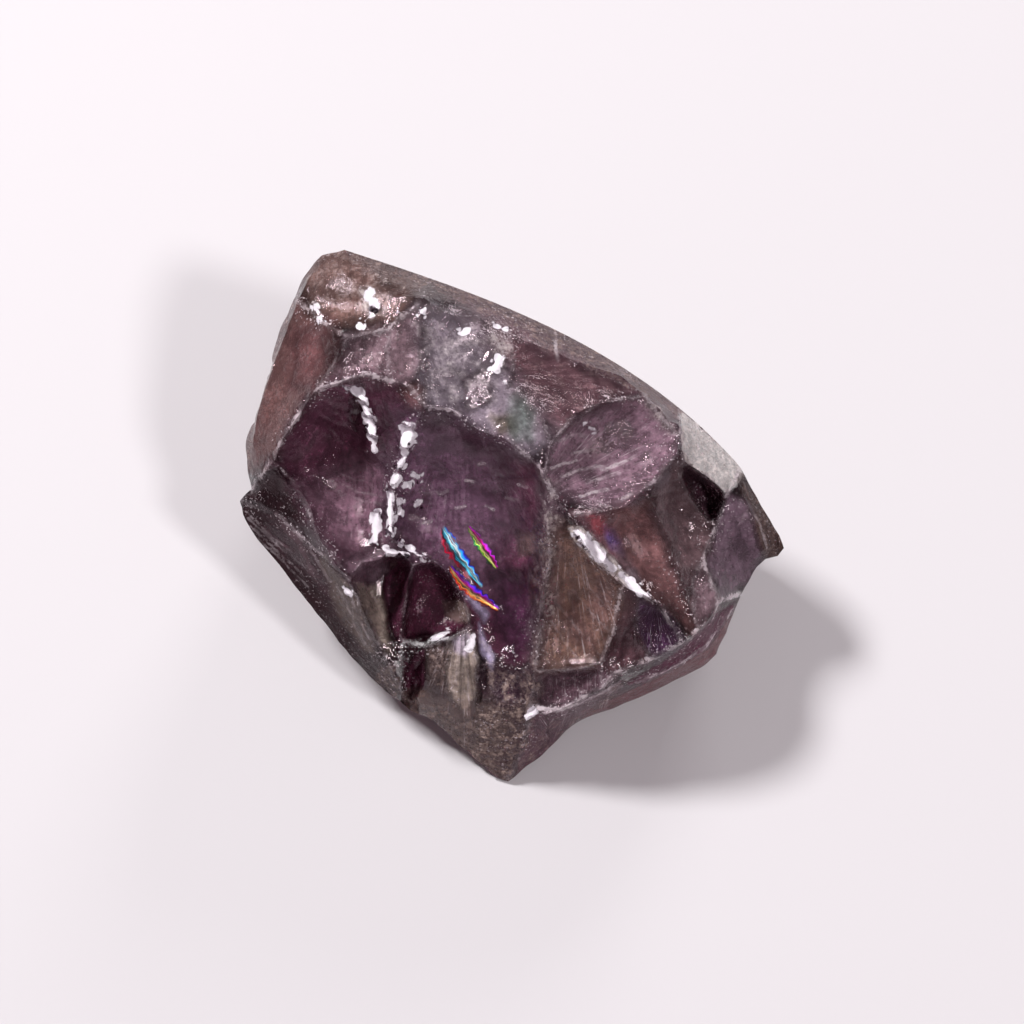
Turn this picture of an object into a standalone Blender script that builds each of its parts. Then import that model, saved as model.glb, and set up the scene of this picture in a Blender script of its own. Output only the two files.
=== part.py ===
# Rough alexandrite: one broken chunk of transparent purple crystal, resting on its sawn flat base.
# The broken face is sketched as seen square on, in sketch squares, with heights above the sketch.
# It is then leaned back to the angle at which the chunk lies on its base.
import math
import random

import bmesh
import bpy
import numpy as np
from mathutils import Vector
from mathutils.geometry import delaunay_2d_cdt

STONE_WIDTH = 0.0297        # m, from the left tip to the right lip
SKETCH_WIDTH = 54.4         # the same width in sketch squares
SQUARE = STONE_WIDTH / SKETCH_WIDTH
LEAN = math.radians(25)     # how far the broken face leans back from lying flat
BASE_DEPTH = 15.3           # squares from the sketch's centre down to the sawn base

FRONT_STEP = 0.92           # squares between mesh points on the broken face
BACK_STEP = 1.55            # squares between mesh points on the walls and the base
RIDGE_STEP = 0.9            # squares between mesh points along a ridge
EDGE_WANDER = 0.10          # squares, how far a ridge strays from its drawn line
RIDGE_CHIP = 0.14           # squares, how much a ridge's height varies

# The curved outer skin of the grown crystal, seen edge on, is an arc between two corners.
SKIN_START = (-16.7, 26.6, -1.0)
SKIN_END = (22.8, 4.9, -0.8)
SKIN_BULGE = 3.15           # squares that the arc stands out from its chord
SKIN_SKEW = 0.3             # how much fuller the arc is towards its right end
SKIN_STEPS = 34


def skin_point(share):
    """Place on the skin's edge, with share running from 0 at the left corner to 1 at the right."""
    start = Vector(SKIN_START)
    chord = Vector(SKIN_END) - start
    outward = Vector((-chord.y, chord.x, 0)).normalized()
    bulge = 4 * SKIN_BULGE * share * (1 - share) * (1 + SKIN_SKEW * (2 * share - 1))
    return tuple(start + chord * share + outward * bulge)


# Corners where several ridges meet: across, up, height, all in squares.
LEFT_NOTCH = (-26.0, 2.8, -1.9)
LEFT_TIP = (-27.2, 1.6, -2.2)
TOP_LEFT = (-19.0, 26.1, -1.8)
GROUND_CORNER = skin_point(0.82)
LIP_END = (25.4, -4.2, -3.0)
RIM_END = (23.0, -7.7, -3.0)
WALL_END = (22.6, -8.7, -3.5)
FAN_FOOT = (8.8, -19.7, -4.6)
LOW_TIP = (-0.4, -26.6, -4.2)
FLAKE_FOOT = (-3.2, -24.8, -4.0)
SPLIT_FOOT = (-7.2, -21.1, -3.8)
WINE_RIGHT = (-8.4, -20.1, -3.6)
WINE_LEFT = (-11.2, -18.5, -3.6)
BOWL_MEET = (-8.4, 10.8, 6.1)
HACKLE_TOP = (4.0, 2.5, 7.7)
RIM_MEET = (2.3, -15.1, 2.9)
STREAK_TOP = (5.3, 0.3, 7.4)
STREAK_FORK = (10.8, -6.5, 6.3)
STREAK_MIDDLE = (12.4, -7.4, 6.1)
STREAK_FOOT = (14.3, -8.5, 5.8)
Y_MIDDLE = (18.8, -4.3, 2.5)
Y_FOOT = (20.4, -8.2, 2.5)
Y_TOP = (20.4, -0.5, 1.6)
LILAC_FOOT = (17.9, -9.9, 3.7)
PEAK = (-8.7, 21.4, 4.6)
UPPER_JUNCTION = (-15.9, 17.5, 5.5)
SLATE_TOP = (-11.5, 19.2, 4.7)
POST_TOP = (-9.8, -4.8, 1.2)
POST_FOOT = (-10.9, -12.3, 1.0)
STEP_MIDDLE = (-11.7, -2.8, 1.6)
LEDGE_LEFT = (-16.0, -6.3, 1.9)
FLAKE_TOP = (-4.2, -10.8, 1.4)
SPLIT_TOP = (-5.7, -11.9, 1.5)
WINE_TOP = (-8.2, -12.8, 1.2)
SPINE = (1.8, -18.8, 1.2)
BLADE = (-3.5, -17.3, 1.4)
GROUND_LEFT = (16.8, 5.5, 4.2)
GROUND_LOW = (21.3, 2.4, 1.2)
DISH_CORNER = (13.0, 12.0, 3.1)
DISH_RIGHT = (16.4, 7.7, 4.6)
DISH_LOW = (12.8, 2.7, 5.6)
DISH_LEFT = (3.1, 4.1, 7.7)
DISH_TOP = (3.8, 7.2, 7.3)

# The outline after the skin's arc, clockwise from the right end of the arc.
OUTLINE = [
    (23.8, 2.9, -1.2), (24.8, 1.2, -1.8), (25.8, -0.3, -2.2), (26.7, -1.8, -2.4), (27.2, -3.1, -2.6),
    (26.6, -3.9, -2.8), LIP_END, (24.5, -5.0, -2.8), (23.8, -6.3, -2.7), RIM_END, WALL_END,
    (21.8, -10.8, -4.4), (20.6, -13.8, -5.0), (19.3, -15.1, -5.1), (17.3, -16.1, -5.1),
    (14.8, -17.3, -5.0), (12.8, -18.2, -4.8), FAN_FOOT, (6.8, -20.5, -4.5), (5.3, -21.6, -4.3),
    (3.6, -23.3, -4.1), (2.3, -24.5, -4.0), (0.8, -25.6, -4.0), LOW_TIP, (-1.4, -26.2, -4.2),
    FLAKE_FOOT, (-5.7, -22.5, -3.9), SPLIT_FOOT, WINE_RIGHT, (-10.2, -19.4, -3.6), WINE_LEFT,
    (-12.7, -17.5, -3.6), (-14.2, -16.1, -3.6), (-16.2, -14.0, -3.6), (-18.4, -11.1, -3.6),
    (-20.7, -8.3, -3.5), (-22.2, -6.3, -3.3), (-25.0, -2.8, -3.0), (-26.4, -0.8, -2.6),
    (-26.9, 0.2, -2.4), LEFT_TIP, LEFT_NOTCH, (-26.4, 4.2, -2.8), (-26.7, 7.7, -3.2),
    (-25.7, 10.5, -3.3), (-25.0, 12.7, -3.2), (-23.7, 17.2, -2.8), (-22.9, 19.5, -2.6),
    (-22.2, 20.9, -2.4), (-20.9, 23.9, -2.2), TOP_LEFT,
]

# Ridges of the broken face. Each runs between corners that it shares with its neighbours.
FRONT_RIDGES = {
    "left bowl rim": [
        LEFT_NOTCH, (-24.4, 4.7, 0.7), (-23.5, 5.5, 1.6), (-22.9, 7.2, 2.6), (-21.2, 9.7, 3.7),
        (-19.0, 12.6, 4.8), (-16.7, 13.2, 5.3), (-14.2, 14.0, 5.9), (-12.0, 13.3, 5.7),
        (-10.0, 12.8, 5.8), BOWL_MEET],
    "right bowl rim": [
        BOWL_MEET, (-7.1, 10.8, 6.2), (-5.7, 10.4, 6.4), (-4.9, 9.7, 6.6), (-3.7, 8.7, 7.0),
        (-2.2, 8.1, 7.2), (-0.7, 7.7, 7.3), (1.3, 6.2, 7.5), (2.3, 5.2, 7.6), DISH_LEFT, HACKLE_TOP],
    "chipped lip": [(-19.9, 10.4, 2.9), (-18.7, 11.3, 3.5), (-17.6, 12.0, 3.9), (-16.4, 12.1, 4.2)],
    "hackle ridge": [
        HACKLE_TOP, (3.4, -0.3, 7.0), (3.8, -4.3, 5.9), (3.1, -6.3, 5.0), (2.9, -8.3, 4.4),
        (2.6, -12.3, 3.3), RIM_MEET],
    "ridge between bowls": [
        BOWL_MEET, (-10.2, 7.7, 3.7), (-11.4, 4.2, 2.4), (-11.9, 0.2, 1.8), STEP_MIDDLE],
    "long flute": [(-12.9, 5.6, 1.3), (-12.7, 2.5, 0.6), (-12.7, -1.8, 0.5)],
    "short flute": [(-13.9, 1.2, -0.3), (-13.9, -2.6, 0.1)],
    "wedge": [(-16.7, 13.2, 5.3), (-14.7, 11.2, 3.9), (-13.7, 8.7, 2.6), (-13.9, 6.5, 1.6)],
    "ledge": [
        LEDGE_LEFT, (-14.9, -4.5, 1.7), (-12.9, -4.1, 1.3), STEP_MIDDLE, POST_TOP,
        (-7.9, -4.3, 1.1), (-6.0, -5.8, 0.9), (-4.8, -8.0, 0.6), FLAKE_TOP, (-2.9, -12.2, 1.2),
        (-1.9, -13.8, 1.2), (0.3, -15.0, 1.9), RIM_MEET],
    "post": [POST_TOP, (-10.4, -6.8, 0.7), (-10.7, -8.8, 0.6), (-11.1, -10.3, 0.8), POST_FOOT],
    "left shoulder": [
        (-23.5, 5.5, 1.6), (-22.9, 4.2, 1.4), (-22.2, 3.2, 1.3), (-20.9, 2.5, 1.5),
        (-19.7, 0.5, 1.7), (-19.4, -1.3, 1.9), (-17.7, -4.3, 1.9), LEDGE_LEFT,
        (-14.7, -9.3, 1.9), (-13.4, -12.3, 1.6), (-12.0, -14.8, 1.0), (-11.0, -17.0, -0.6)],
    "left fold": [
        LEFT_TIP, (-25.7, 1.7, -0.9), (-23.2, 0.2, -0.4), (-21.4, -1.3, -0.1), (-19.7, -3.1, 0.4),
        (-17.7, -4.3, 1.9)],
    "pocket sill": [POST_FOOT, (-9.5, -13.7, 0.8), WINE_TOP, (-7.0, -12.1, 1.5), SPLIT_TOP, FLAKE_TOP],
    "chip top": [(-13.4, -12.3, 1.6), POST_FOOT],
    "wine pocket left": [POST_FOOT, (-10.8, -14.8, 0.8), (-11.0, -17.0, -0.6), WINE_LEFT],
    "wine pocket right": [WINE_TOP, (-8.5, -15.8, 0.9), (-9.3, -18.0, -0.9), WINE_RIGHT],
    "flake split": [SPLIT_TOP, (-5.4, -15.3, 1.7), (-6.0, -17.6, 0.6), SPLIT_FOOT],
    "flake blade": [FLAKE_TOP, (-3.5, -14.3, 2.2), BLADE, (-3.6, -20.0, -0.6), FLAKE_FOOT],
    "tip spine": [RIM_MEET, SPINE, (1.3, -22.3, -1.0), LOW_TIP],
    "tip ledge": [BLADE, (-1.5, -18.6, 1.1), SPINE],
    "right rim": [
        SPINE, (3.3, -19.5, 1.6), (4.8, -19.0, 2.1), (6.8, -18.0, 3.0), (8.8, -16.8, 3.9),
        (10.0, -15.3, 4.4), (12.0, -14.6, 4.7), (13.8, -13.8, 4.9), (16.8, -12.3, 4.6),
        (18.3, -11.1, 4.1), (19.6, -9.8, 3.3), Y_FOOT, RIM_END],
    "wall break": [
        WALL_END, (21.0, -10.6, -1.6), (19.0, -13.2, -0.8), (15.3, -15.4, -0.2), (11.8, -16.5, 0.9),
        (9.5, -17.3, 1.8)],
    "fan": [(10.0, -15.3, 4.4), (9.5, -17.3, 1.8), FAN_FOOT],
    "streak ridge": [
        STREAK_TOP, (6.3, -1.3, 7.0), (7.8, -3.8, 6.8), (9.3, -5.3, 6.5), STREAK_FORK,
        STREAK_MIDDLE, (13.6, -7.8, 6.0), STREAK_FOOT],
    "streak foot": [STREAK_FOOT, (15.6, -10.6, 5.2), (16.8, -12.3, 4.6)],
    "pink facet left": [
        STREAK_FORK, (10.9, -8.6, 5.8), (9.8, -11.5, 5.0), (8.7, -14.3, 4.2), (8.8, -16.8, 3.9)],
    "pink facet right": [STREAK_MIDDLE, (12.4, -9.2, 5.6), (11.9, -11.3, 5.0), (13.8, -13.8, 4.9)],
    "olive facet foot": [RIM_MEET, (6.3, -15.0, 3.4), (8.7, -14.3, 4.2)],
    "dish border": [
        DISH_LEFT, DISH_TOP, (5.9, 9.6, 6.4), (7.1, 10.6, 5.9), (8.8, 11.2, 5.0), (10.8, 11.5, 4.1),
        DISH_CORNER, (14.9, 10.2, 3.7), DISH_RIGHT, (16.0, 6.2, 5.0), (14.3, 3.7, 5.4), DISH_LOW,
        (11.0, 0.9, 5.9), (9.8, 0.7, 6.0), (7.8, 0.4, 6.7), STREAK_TOP, HACKLE_TOP],
    "window edge": [
        DISH_LOW, (13.8, 1.2, 5.0), (15.3, -2.3, 4.4), (16.8, -7.3, 4.3), LILAC_FOOT,
        (18.3, -11.1, 4.1)],
    "lilac facet": [Y_MIDDLE, (17.8, -6.3, 2.8), LILAC_FOOT],
    "right ridge": [
        SKIN_END, (22.3, 3.7, 0.3), GROUND_LOW, (20.8, 1.1, 1.4), Y_TOP, (19.7, -1.8, 1.9),
        (19.1, -3.1, 2.2), Y_MIDDLE, (19.6, -6.3, 2.4), Y_FOOT],
    "ground face left": [GROUND_CORNER, (16.4, 9.2, 3.6), DISH_RIGHT, GROUND_LEFT],
    "ground face foot": [GROUND_LEFT, (18.8, 4.2, 3.2), GROUND_LOW],
    "dark hollow foot": [GROUND_LEFT, (16.6, 3.9, 3.9), (17.8, 1.5, 2.6), (19.3, -0.4, 1.8), Y_TOP],
    "lip": [(22.3, 3.7, 0.3), (23.1, 2.0, 0.1), (24.3, -0.8, -0.4), (25.1, -3.2, -0.9), LIP_END],
    "left bevel": [
        TOP_LEFT, (-20.4, 23.4, -0.5), (-21.3, 21.5, -0.4), (-22.2, 19.2, -0.4), (-23.7, 15.2, -0.5),
        (-25.0, 11.2, -0.6), (-25.8, 7.7, -0.8), (-25.4, 5.0, -0.9), LEFT_NOTCH],
    "corner ridge": [
        (-21.3, 21.5, -0.4), (-19.6, 20.7, 1.4), (-18.7, 19.2, 3.0), (-17.6, 18.6, 3.9),
        UPPER_JUNCTION, (-14.5, 17.8, 5.3), (-12.3, 18.3, 4.8), SLATE_TOP, (-9.9, 20.5, 4.1), PEAK],
    "slate left": [
        UPPER_JUNCTION, (-16.8, 16.5, 5.2), (-17.2, 15.2, 5.1), (-17.9, 14.2, 4.9),
        (-19.0, 12.6, 4.8)],
    "slate right": [SLATE_TOP, (-12.2, 16.8, 5.0), (-12.8, 15.2, 5.6), (-12.0, 13.3, 5.7)],
    "skin line": [
        (-20.4, 23.4, -0.5), (-18.2, 22.7, 1.4), (-15.7, 21.9, 2.4), (-12.7, 21.9, 2.9),
        (-10.7, 21.7, 3.5), PEAK, (-6.2, 19.9, 3.7), (-3.2, 19.5, 3.4), (-0.4, 18.0, 3.5),
        (2.8, 16.7, 3.2), (6.8, 15.2, 3.0), (10.8, 13.9, 2.8), DISH_CORNER, GROUND_CORNER],
    "corner flake": [(-12.7, 21.9, 2.9), (-12.7, 20.2, 3.5), (-12.3, 18.3, 4.8)],
    "haze left": [PEAK, (-9.2, 18.7, 5.0), (-8.4, 15.7, 5.7), (-8.8, 13.2, 6.0), BOWL_MEET],
    "haze middle": [
        (-3.2, 19.5, 3.4), (-3.6, 17.5, 4.7), (-1.9, 14.7, 5.3), (-2.6, 12.0, 6.2), (-2.2, 8.1, 7.2)],
    "bump": [
        (-0.4, 18.0, 3.5), (-0.1, 16.4, 4.7), (0.1, 14.9, 5.2), (-0.4, 13.2, 5.7),
        (1.1, 12.0, 6.1), (2.6, 10.2, 6.7), DISH_TOP],
}

# Scars between the ridges. "at" is any place inside one, "dish" is how deep it is hollowed and
# "steep" is how soon it drops from its edges. A negative dish bulges out.
# "rings" is the place that the shell-like rings spread from, their spacing and their height.
FRONT_SCARS = {
    "left plane": dict(at=(-22, 14), dish=0.35),
    "corner skin": dict(at=(-16.5, 24), dish=-0.4),
    "top skin": dict(at=(2, 19.5), dish=-0.4),
    "corner flake": dict(at=(-16.5, 19.9), dish=0.5),
    "slate facet": dict(at=(-15, 15.8), dish=0.8),
    "dark band": dict(at=(-10.6, 16), dish=0.6),
    "haze": dict(at=(-5.5, 15), dish=0.8, rings=((-9, 22), 4.6, 0.12)),
    "bump": dict(at=(-1.6, 16.6), dish=-0.35),
    "grained face": dict(at=(7, 13), dish=0.8),
    "left bowl": dict(at=(-18, 5), dish=3.4, steep=1.3, rings=((-13, 17), 4.6, 0.22)),
    "right bowl": dict(at=(-3, 0), dish=4.0, steep=1.3, rings=((-2, 14), 5.0, 0.22)),
    "left tip facet": dict(at=(-22.8, 2.2), dish=0.3),
    "left wall": dict(at=(-20, -5), dish=0.6, rings=((-27, 2), 5.5, 0.12)),
    "left pocket": dict(at=(-12.5, -8), dish=3.0, steep=2.2),
    "right pocket": dict(at=(-8, -8.5), dish=3.3, steep=2.2),
    "wine pocket": dict(at=(-9.7, -16), dish=1.5, steep=1.6),
    "left flake": dict(at=(-7, -15.5), dish=-0.35),
    "right flake": dict(at=(-4.4, -15), dish=-0.25),
    "shard": dict(at=(-0.8, -16.8), dish=0.7),
    "tip left": dict(at=(-1.2, -21), dish=-0.25),
    "tip right": dict(at=(3, -21.5), dish=0.3),
    "dark strip": dict(at=(5, -16.8), dish=1.0, steep=1.6),
    "olive facet": dict(at=(6.5, -9), dish=2.3, steep=1.3, rings=((5, 2), 5.0, 0.14)),
    "pink facet": dict(at=(10.6, -12), dish=1.2),
    "hackle facet": dict(at=(14.5, -11), dish=1.0),
    "window": dict(at=(12.5, -3.5), dish=2.0, steep=1.2),
    "grey facet": dict(at=(17, -2), dish=1.3),
    "lilac facet": dict(at=(18.9, -7.5), dish=0.4),
    "dish": dict(at=(9.5, 5.5), dish=2.3, steep=1.4, rings=((3, 2), 4.8, 0.12)),
    "dark hollow": dict(at=(19, 2.2), dish=3.2, steep=2.0),
    "right facet": dict(at=(22, -3), dish=0.6),
    "maroon strip": dict(at=(18.5, -12.3), dish=0.6),
    "lower right wall": dict(at=(16, -16), dish=0.3),
}

# The edge of the sawn base, as places on the sketch. Their heights come from the base's plane.
BASE_CORNER = (-14.6, 14.8)
BASE_LEFT = (-22.0, 3.6)
BASE_LOW_LEFT = (-10.8, -15.6)
BASE_TIP = (0.2, -23.6)
BASE_LOW_RIGHT = (17.4, -13.0)
BASE_LIP = (20.9, -7.6)
BASE_RIGHT = (21.0, -3.2)
BASE_OUTLINE = [
    BASE_CORNER, (-9.0, 13.6), (-2.6, 11.1), (3.4, 8.8), (9.0, 5.8), (15.4, 1.4), BASE_RIGHT,
    BASE_LIP, BASE_LOW_RIGHT, (13.4, -15.2), (7.4, -17.6), (3.6, -20.6), BASE_TIP,
    (-3.2, -21.6), (-7.4, -18.4), BASE_LOW_LEFT, (-15.4, -10.6), (-18.8, -5.2), (-21.4, -1.0),
    BASE_LEFT, (-21.4, 8.0), (-19.4, 11.4), (-17.2, 14.0),
]

# Ridges of the walls, from the outline down to the base.
BACK_RIDGES = {
    "skin left edge": [SKIN_START, (-15.9, 21.4, -13.0), BASE_CORNER],
    "skin right edge": [SKIN_END, (22.2, 1.2, -9.6), BASE_RIGHT],
    "lip edge": [(27.2, -3.1, -2.6), (23.9, -4.1, -7.4), BASE_LIP],
    "lower right edge": [(19.3, -15.1, -5.1), BASE_LOW_RIGHT],
    "tip edge": [LOW_TIP, BASE_TIP],
    "lower left edge": [(-12.7, -17.5, -3.6), BASE_LOW_LEFT],
    "left edge": [LEFT_TIP, (-25.2, 1.6, -9.0), BASE_LEFT],
    "left upper edge": [(-25.7, 10.5, -3.3), (-23.8, 9.4, -12.6), (-21.4, 8.0)],
    "left belt": [(-23.8, 9.4, -12.6), (-20.2, 17.6, -13.5), (-15.9, 21.4, -13.0)],
}
BACK_SCARS = {
    "skin": dict(at=(3, 16), dish=0.0),
    "left bite": dict(at=(-23.8, 5), dish=1.6, steep=1.3),
    "upper left bite": dict(at=(-22.0, 16.5), dish=1.2),
    "upper left foot": dict(at=(-18.6, 15.2), dish=1.0),
    "lower left wall": dict(at=(-19.5, -7), dish=0.8),
    "lip hollow": dict(at=(23.6, -1.5), dish=1.2),
    "right wall": dict(at=(20.8, -10.8), dish=0.8),
}


def base_height(up):
    """Height of the sawn base's plane at a place on the sketch."""
    return -(BASE_DEPTH + math.sin(LEAN) * up) / math.cos(LEAN)


def fine_line(points, closed, shake):
    """Points along a line no further apart than RIDGE_STEP, with the small wander of a real edge."""
    line = []
    spans = list(zip(points, points[1:] + points[:1] if closed else points[1:]))
    for start, end in spans:
        start = Vector(start)
        end = Vector(end)
        run = end - start
        count = max(1, round(run.xy.length / RIDGE_STEP))
        across = Vector((-run.y, run.x, 0)).normalized()
        line.append(tuple(start))
        for index in range(1, count):
            place = start + run * index / count
            place += across * shake.uniform(-EDGE_WANDER, EDGE_WANDER)
            place.z += shake.uniform(-RIDGE_CHIP, RIDGE_CHIP)
            line.append(tuple(place))
    if not closed:
        line.append(tuple(Vector(points[-1])))
    return line


class Sketch:
    """The points and lines of one side of the stone."""

    def __init__(self, outline):
        self.places = []
        self.heights = []
        self.lines = []
        self.index_of = {}
        self.outline = [self.add(point) for point in outline]
        self.join(self.outline + self.outline[:1])

    def add(self, point):
        key = (round(point[0], 4), round(point[1], 4))
        if key not in self.index_of:
            self.index_of[key] = len(self.places)
            self.places.append(Vector(key))
            self.heights.append(point[2])
        return self.index_of[key]

    def join(self, indices):
        self.lines += list(zip(indices, indices[1:]))

    def add_line(self, points):
        self.join([self.add(point) for point in points])

    def fill(self, step, shake):
        """Scatter free points on a jittered honeycomb, clear of the lines and inside the outline."""
        corners = np.array([self.places[index] for index in self.outline])
        drawn = np.array([tuple(place) for place in self.places])
        low = corners.min(axis=0)
        high = corners.max(axis=0)
        row = 0
        up = low[1]
        while up < high[1]:
            across = low[0] + (row % 2) * step / 2
            while across < high[0]:
                spot = np.array((across + shake.uniform(-0.16, 0.16) * step,
                                 up + shake.uniform(-0.16, 0.16) * step))
                nearest = np.sqrt(((drawn - spot) ** 2).sum(axis=1)).min()
                if nearest > 0.6 * step and inside(corners, spot):
                    self.places.append(Vector(spot))
                    self.heights.append(None)
                across += step
            up += step * math.sqrt(3) / 2
            row += 1


def inside(corners, spot):
    """Whether a spot lies inside a closed outline, by counting the edges to its right."""
    start = corners
    end = np.roll(corners, -1, axis=0)
    crosses = (start[:, 1] > spot[1]) != (end[:, 1] > spot[1])
    rise = np.where(crosses, end[:, 1] - start[:, 1], 1)
    meets = start[:, 0] + (spot[1] - start[:, 1]) * (end[:, 0] - start[:, 0]) / rise
    return np.count_nonzero(crosses & (meets > spot[0])) % 2 == 1


def relax(values, free, links, lift, rounds=900):
    """Settle the free values to the weighted mean of their neighbours plus a lift."""
    ahead, behind, weight = links
    total_weight = np.bincount(ahead, weights=weight, minlength=len(values))
    total_weight[total_weight == 0] = 1
    for _ in range(rounds):
        total = np.bincount(ahead, weights=weight * values[behind], minlength=len(values))
        values[free] = ((total + lift) / total_weight)[free]
    return values


def neighbour_links(where, faces):
    """Each edge both ways, weighted so that a flat slope stays flat whatever its triangles."""
    ahead = []
    behind = []
    weight = []
    for face in faces:
        for step in range(3):
            first, second, third = face[step], face[step - 2], face[step - 1]
            arm = where[first] - where[third]
            other = where[second] - where[third]
            area = abs(arm[0] * other[1] - arm[1] * other[0])
            pull = max(0.02, arm @ other / max(area, 1e-9))
            ahead += [first, second]
            behind += [second, first]
            weight += [pull, pull]
    return np.array(ahead), np.array(behind), np.array(weight)


def patches(free, links):
    """Number each group of free points that no ridge separates."""
    ahead, behind, _ = links
    label = np.where(free, np.arange(len(free)), -1)
    both = free[ahead] & free[behind]
    ahead = ahead[both]
    behind = behind[both]
    changed = True
    while changed:
        before = label.copy()
        np.maximum.at(label, ahead, label[behind])
        changed = not np.array_equal(before, label)
    return label


def carve(sketch, scars):
    """Triangulate one side and give every free point its height."""
    places, _, faces, origins, _, _ = delaunay_2d_cdt(
        sketch.places, sketch.lines, [sketch.outline], 1, 1e-5)
    where = np.array([tuple(place) for place in places])
    drawn = [min(origin) if origin else None for origin in origins]
    heights = np.array([np.nan if source is None or sketch.heights[source] is None
                        else sketch.heights[source] for source in drawn])
    free = np.isnan(heights)
    heights[free] = 0

    links = neighbour_links(where, faces)
    heights = relax(heights, free, links, 0)
    hollow = relax(np.zeros(len(heights)), free, links, 0.01)
    label = patches(free, links)
    for scar in scars.values():
        distance = np.hypot(*(where - scar["at"]).T)
        distance[~free] = np.inf
        chosen = label == label[np.argmin(distance)]
        share = np.where(chosen, hollow, 0)
        share /= share.max()
        drop = scar["dish"] * (1 - (1 - share) ** scar.get("steep", 1))
        if "rings" in scar:
            source, spacing, height = scar["rings"]
            phase = np.hypot(*(where - source).T) * 2 * math.pi / spacing
            drop = drop + height * np.sin(phase) * np.minimum(1, 3 * share)
        heights -= np.where(chosen, drop, 0)
    return where, heights, faces, drawn


def lay_down(place, height):
    """From the sketch to metres, leaned back and standing on the base."""
    across, up = place
    depth = math.cos(LEAN) * up - math.sin(LEAN) * height
    rise = math.sin(LEAN) * up + math.cos(LEAN) * height + BASE_DEPTH
    return Vector((across, depth, rise)) * SQUARE


def stone_mesh():
    shake = random.Random(11)
    arc = [skin_point(step / SKIN_STEPS) for step in range(SKIN_STEPS)]
    corner = min(range(SKIN_STEPS), key=lambda step: (Vector(arc[step]) - Vector(GROUND_CORNER)).length)
    arc[corner] = GROUND_CORNER
    outline = [(x, y, h) for x, y, h in arc]
    outline += fine_line([SKIN_END] + OUTLINE + [SKIN_START], False, shake)[:-1]

    front = Sketch(outline)
    for ridge in FRONT_RIDGES.values():
        front.add_line(fine_line(ridge, False, shake))
    front.fill(FRONT_STEP, shake)

    def on_base(point):
        return point if len(point) == 3 else (point[0], point[1], base_height(point[1]))

    back = Sketch(outline)
    edge = [(x, y, base_height(y)) for x, y, _ in
            fine_line([on_base(point) for point in BASE_OUTLINE], True, shake)]
    back.add_line(edge + edge[:1])
    for ridge in BACK_RIDGES.values():
        back.add_line(fine_line([on_base(point) for point in ridge], False, shake))
    back.fill(BACK_STEP, shake)
    edge_corners = np.array([point[:2] for point in edge])
    for index, height in enumerate(back.heights):
        if height is None and inside(edge_corners, np.array(back.places[index])):
            back.heights[index] = base_height(back.places[index].y)

    mesh = bmesh.new()
    shared = {}
    for side, sketch, scars in (("front", front, FRONT_SCARS), ("back", back, BACK_SCARS)):
        where, heights, faces, drawn = carve(sketch, scars)
        corners = []
        for place, height, source in zip(where, heights, drawn):
            on_outline = source is not None and source < len(outline)
            if on_outline and source in shared:
                corners.append(shared[source])
                continue
            corner = mesh.verts.new(lay_down(place, height))
            if on_outline:
                shared[source] = corner
            corners.append(corner)
        for face in faces:
            loop = [corners[index] for index in face]
            if side == "back":
                loop.reverse()
            mesh.faces.new(loop)
    return mesh


def alexandrite():
    material = bpy.data.materials.new("Purple alexandrite")
    material.use_nodes = True
    shader = material.node_tree.nodes["Principled BSDF"]
    shader.inputs["Base Color"].default_value = (0.115, 0.055, 0.080, 1)
    shader.inputs["Roughness"].default_value = 0.12
    shader.inputs["Metallic"].default_value = 0
    shader.inputs["IOR"].default_value = 1.75
    shader.inputs["Transmission Weight"].default_value = 0.85
    return material


for old in list(bpy.data.objects):
    bpy.data.objects.remove(old, do_unlink=True)

stone_data = bpy.data.meshes.new("rough_alexandrite")
stone_bmesh = stone_mesh()
low = Vector([min(vert.co[axis] for vert in stone_bmesh.verts) for axis in range(3)])
high = Vector([max(vert.co[axis] for vert in stone_bmesh.verts) for axis in range(3)])
centre = Vector(((low.x + high.x) / 2, (low.y + high.y) / 2, low.z))
bmesh.ops.translate(stone_bmesh, verts=stone_bmesh.verts, vec=-centre)
stone_bmesh.to_mesh(stone_data)
stone_bmesh.free()
stone = bpy.data.objects.new("rough_alexandrite", stone_data)
stone.data.materials.append(alexandrite())
bpy.context.collection.objects.link(stone)
print("triangles", len(stone_data.polygons), "size mm", (high - low) * 1000)
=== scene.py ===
import functools
import math

import bmesh
import bpy
import numpy as np
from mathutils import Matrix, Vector, noise
from mathutils.bvhtree import BVHTree


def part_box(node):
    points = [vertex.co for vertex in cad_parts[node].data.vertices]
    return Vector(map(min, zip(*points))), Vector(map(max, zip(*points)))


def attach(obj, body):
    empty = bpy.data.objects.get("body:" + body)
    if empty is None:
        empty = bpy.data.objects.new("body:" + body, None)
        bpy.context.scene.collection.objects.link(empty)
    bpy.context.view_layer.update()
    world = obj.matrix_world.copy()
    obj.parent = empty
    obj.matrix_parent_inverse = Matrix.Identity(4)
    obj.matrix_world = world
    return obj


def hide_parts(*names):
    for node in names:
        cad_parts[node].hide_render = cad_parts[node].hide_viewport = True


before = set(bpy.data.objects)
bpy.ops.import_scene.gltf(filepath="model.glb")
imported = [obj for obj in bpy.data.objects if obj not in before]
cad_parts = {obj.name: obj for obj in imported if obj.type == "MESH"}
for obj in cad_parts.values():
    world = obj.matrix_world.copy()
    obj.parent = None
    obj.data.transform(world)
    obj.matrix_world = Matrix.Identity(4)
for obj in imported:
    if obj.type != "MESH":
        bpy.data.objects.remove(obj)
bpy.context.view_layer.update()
print("frame loaded")

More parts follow.
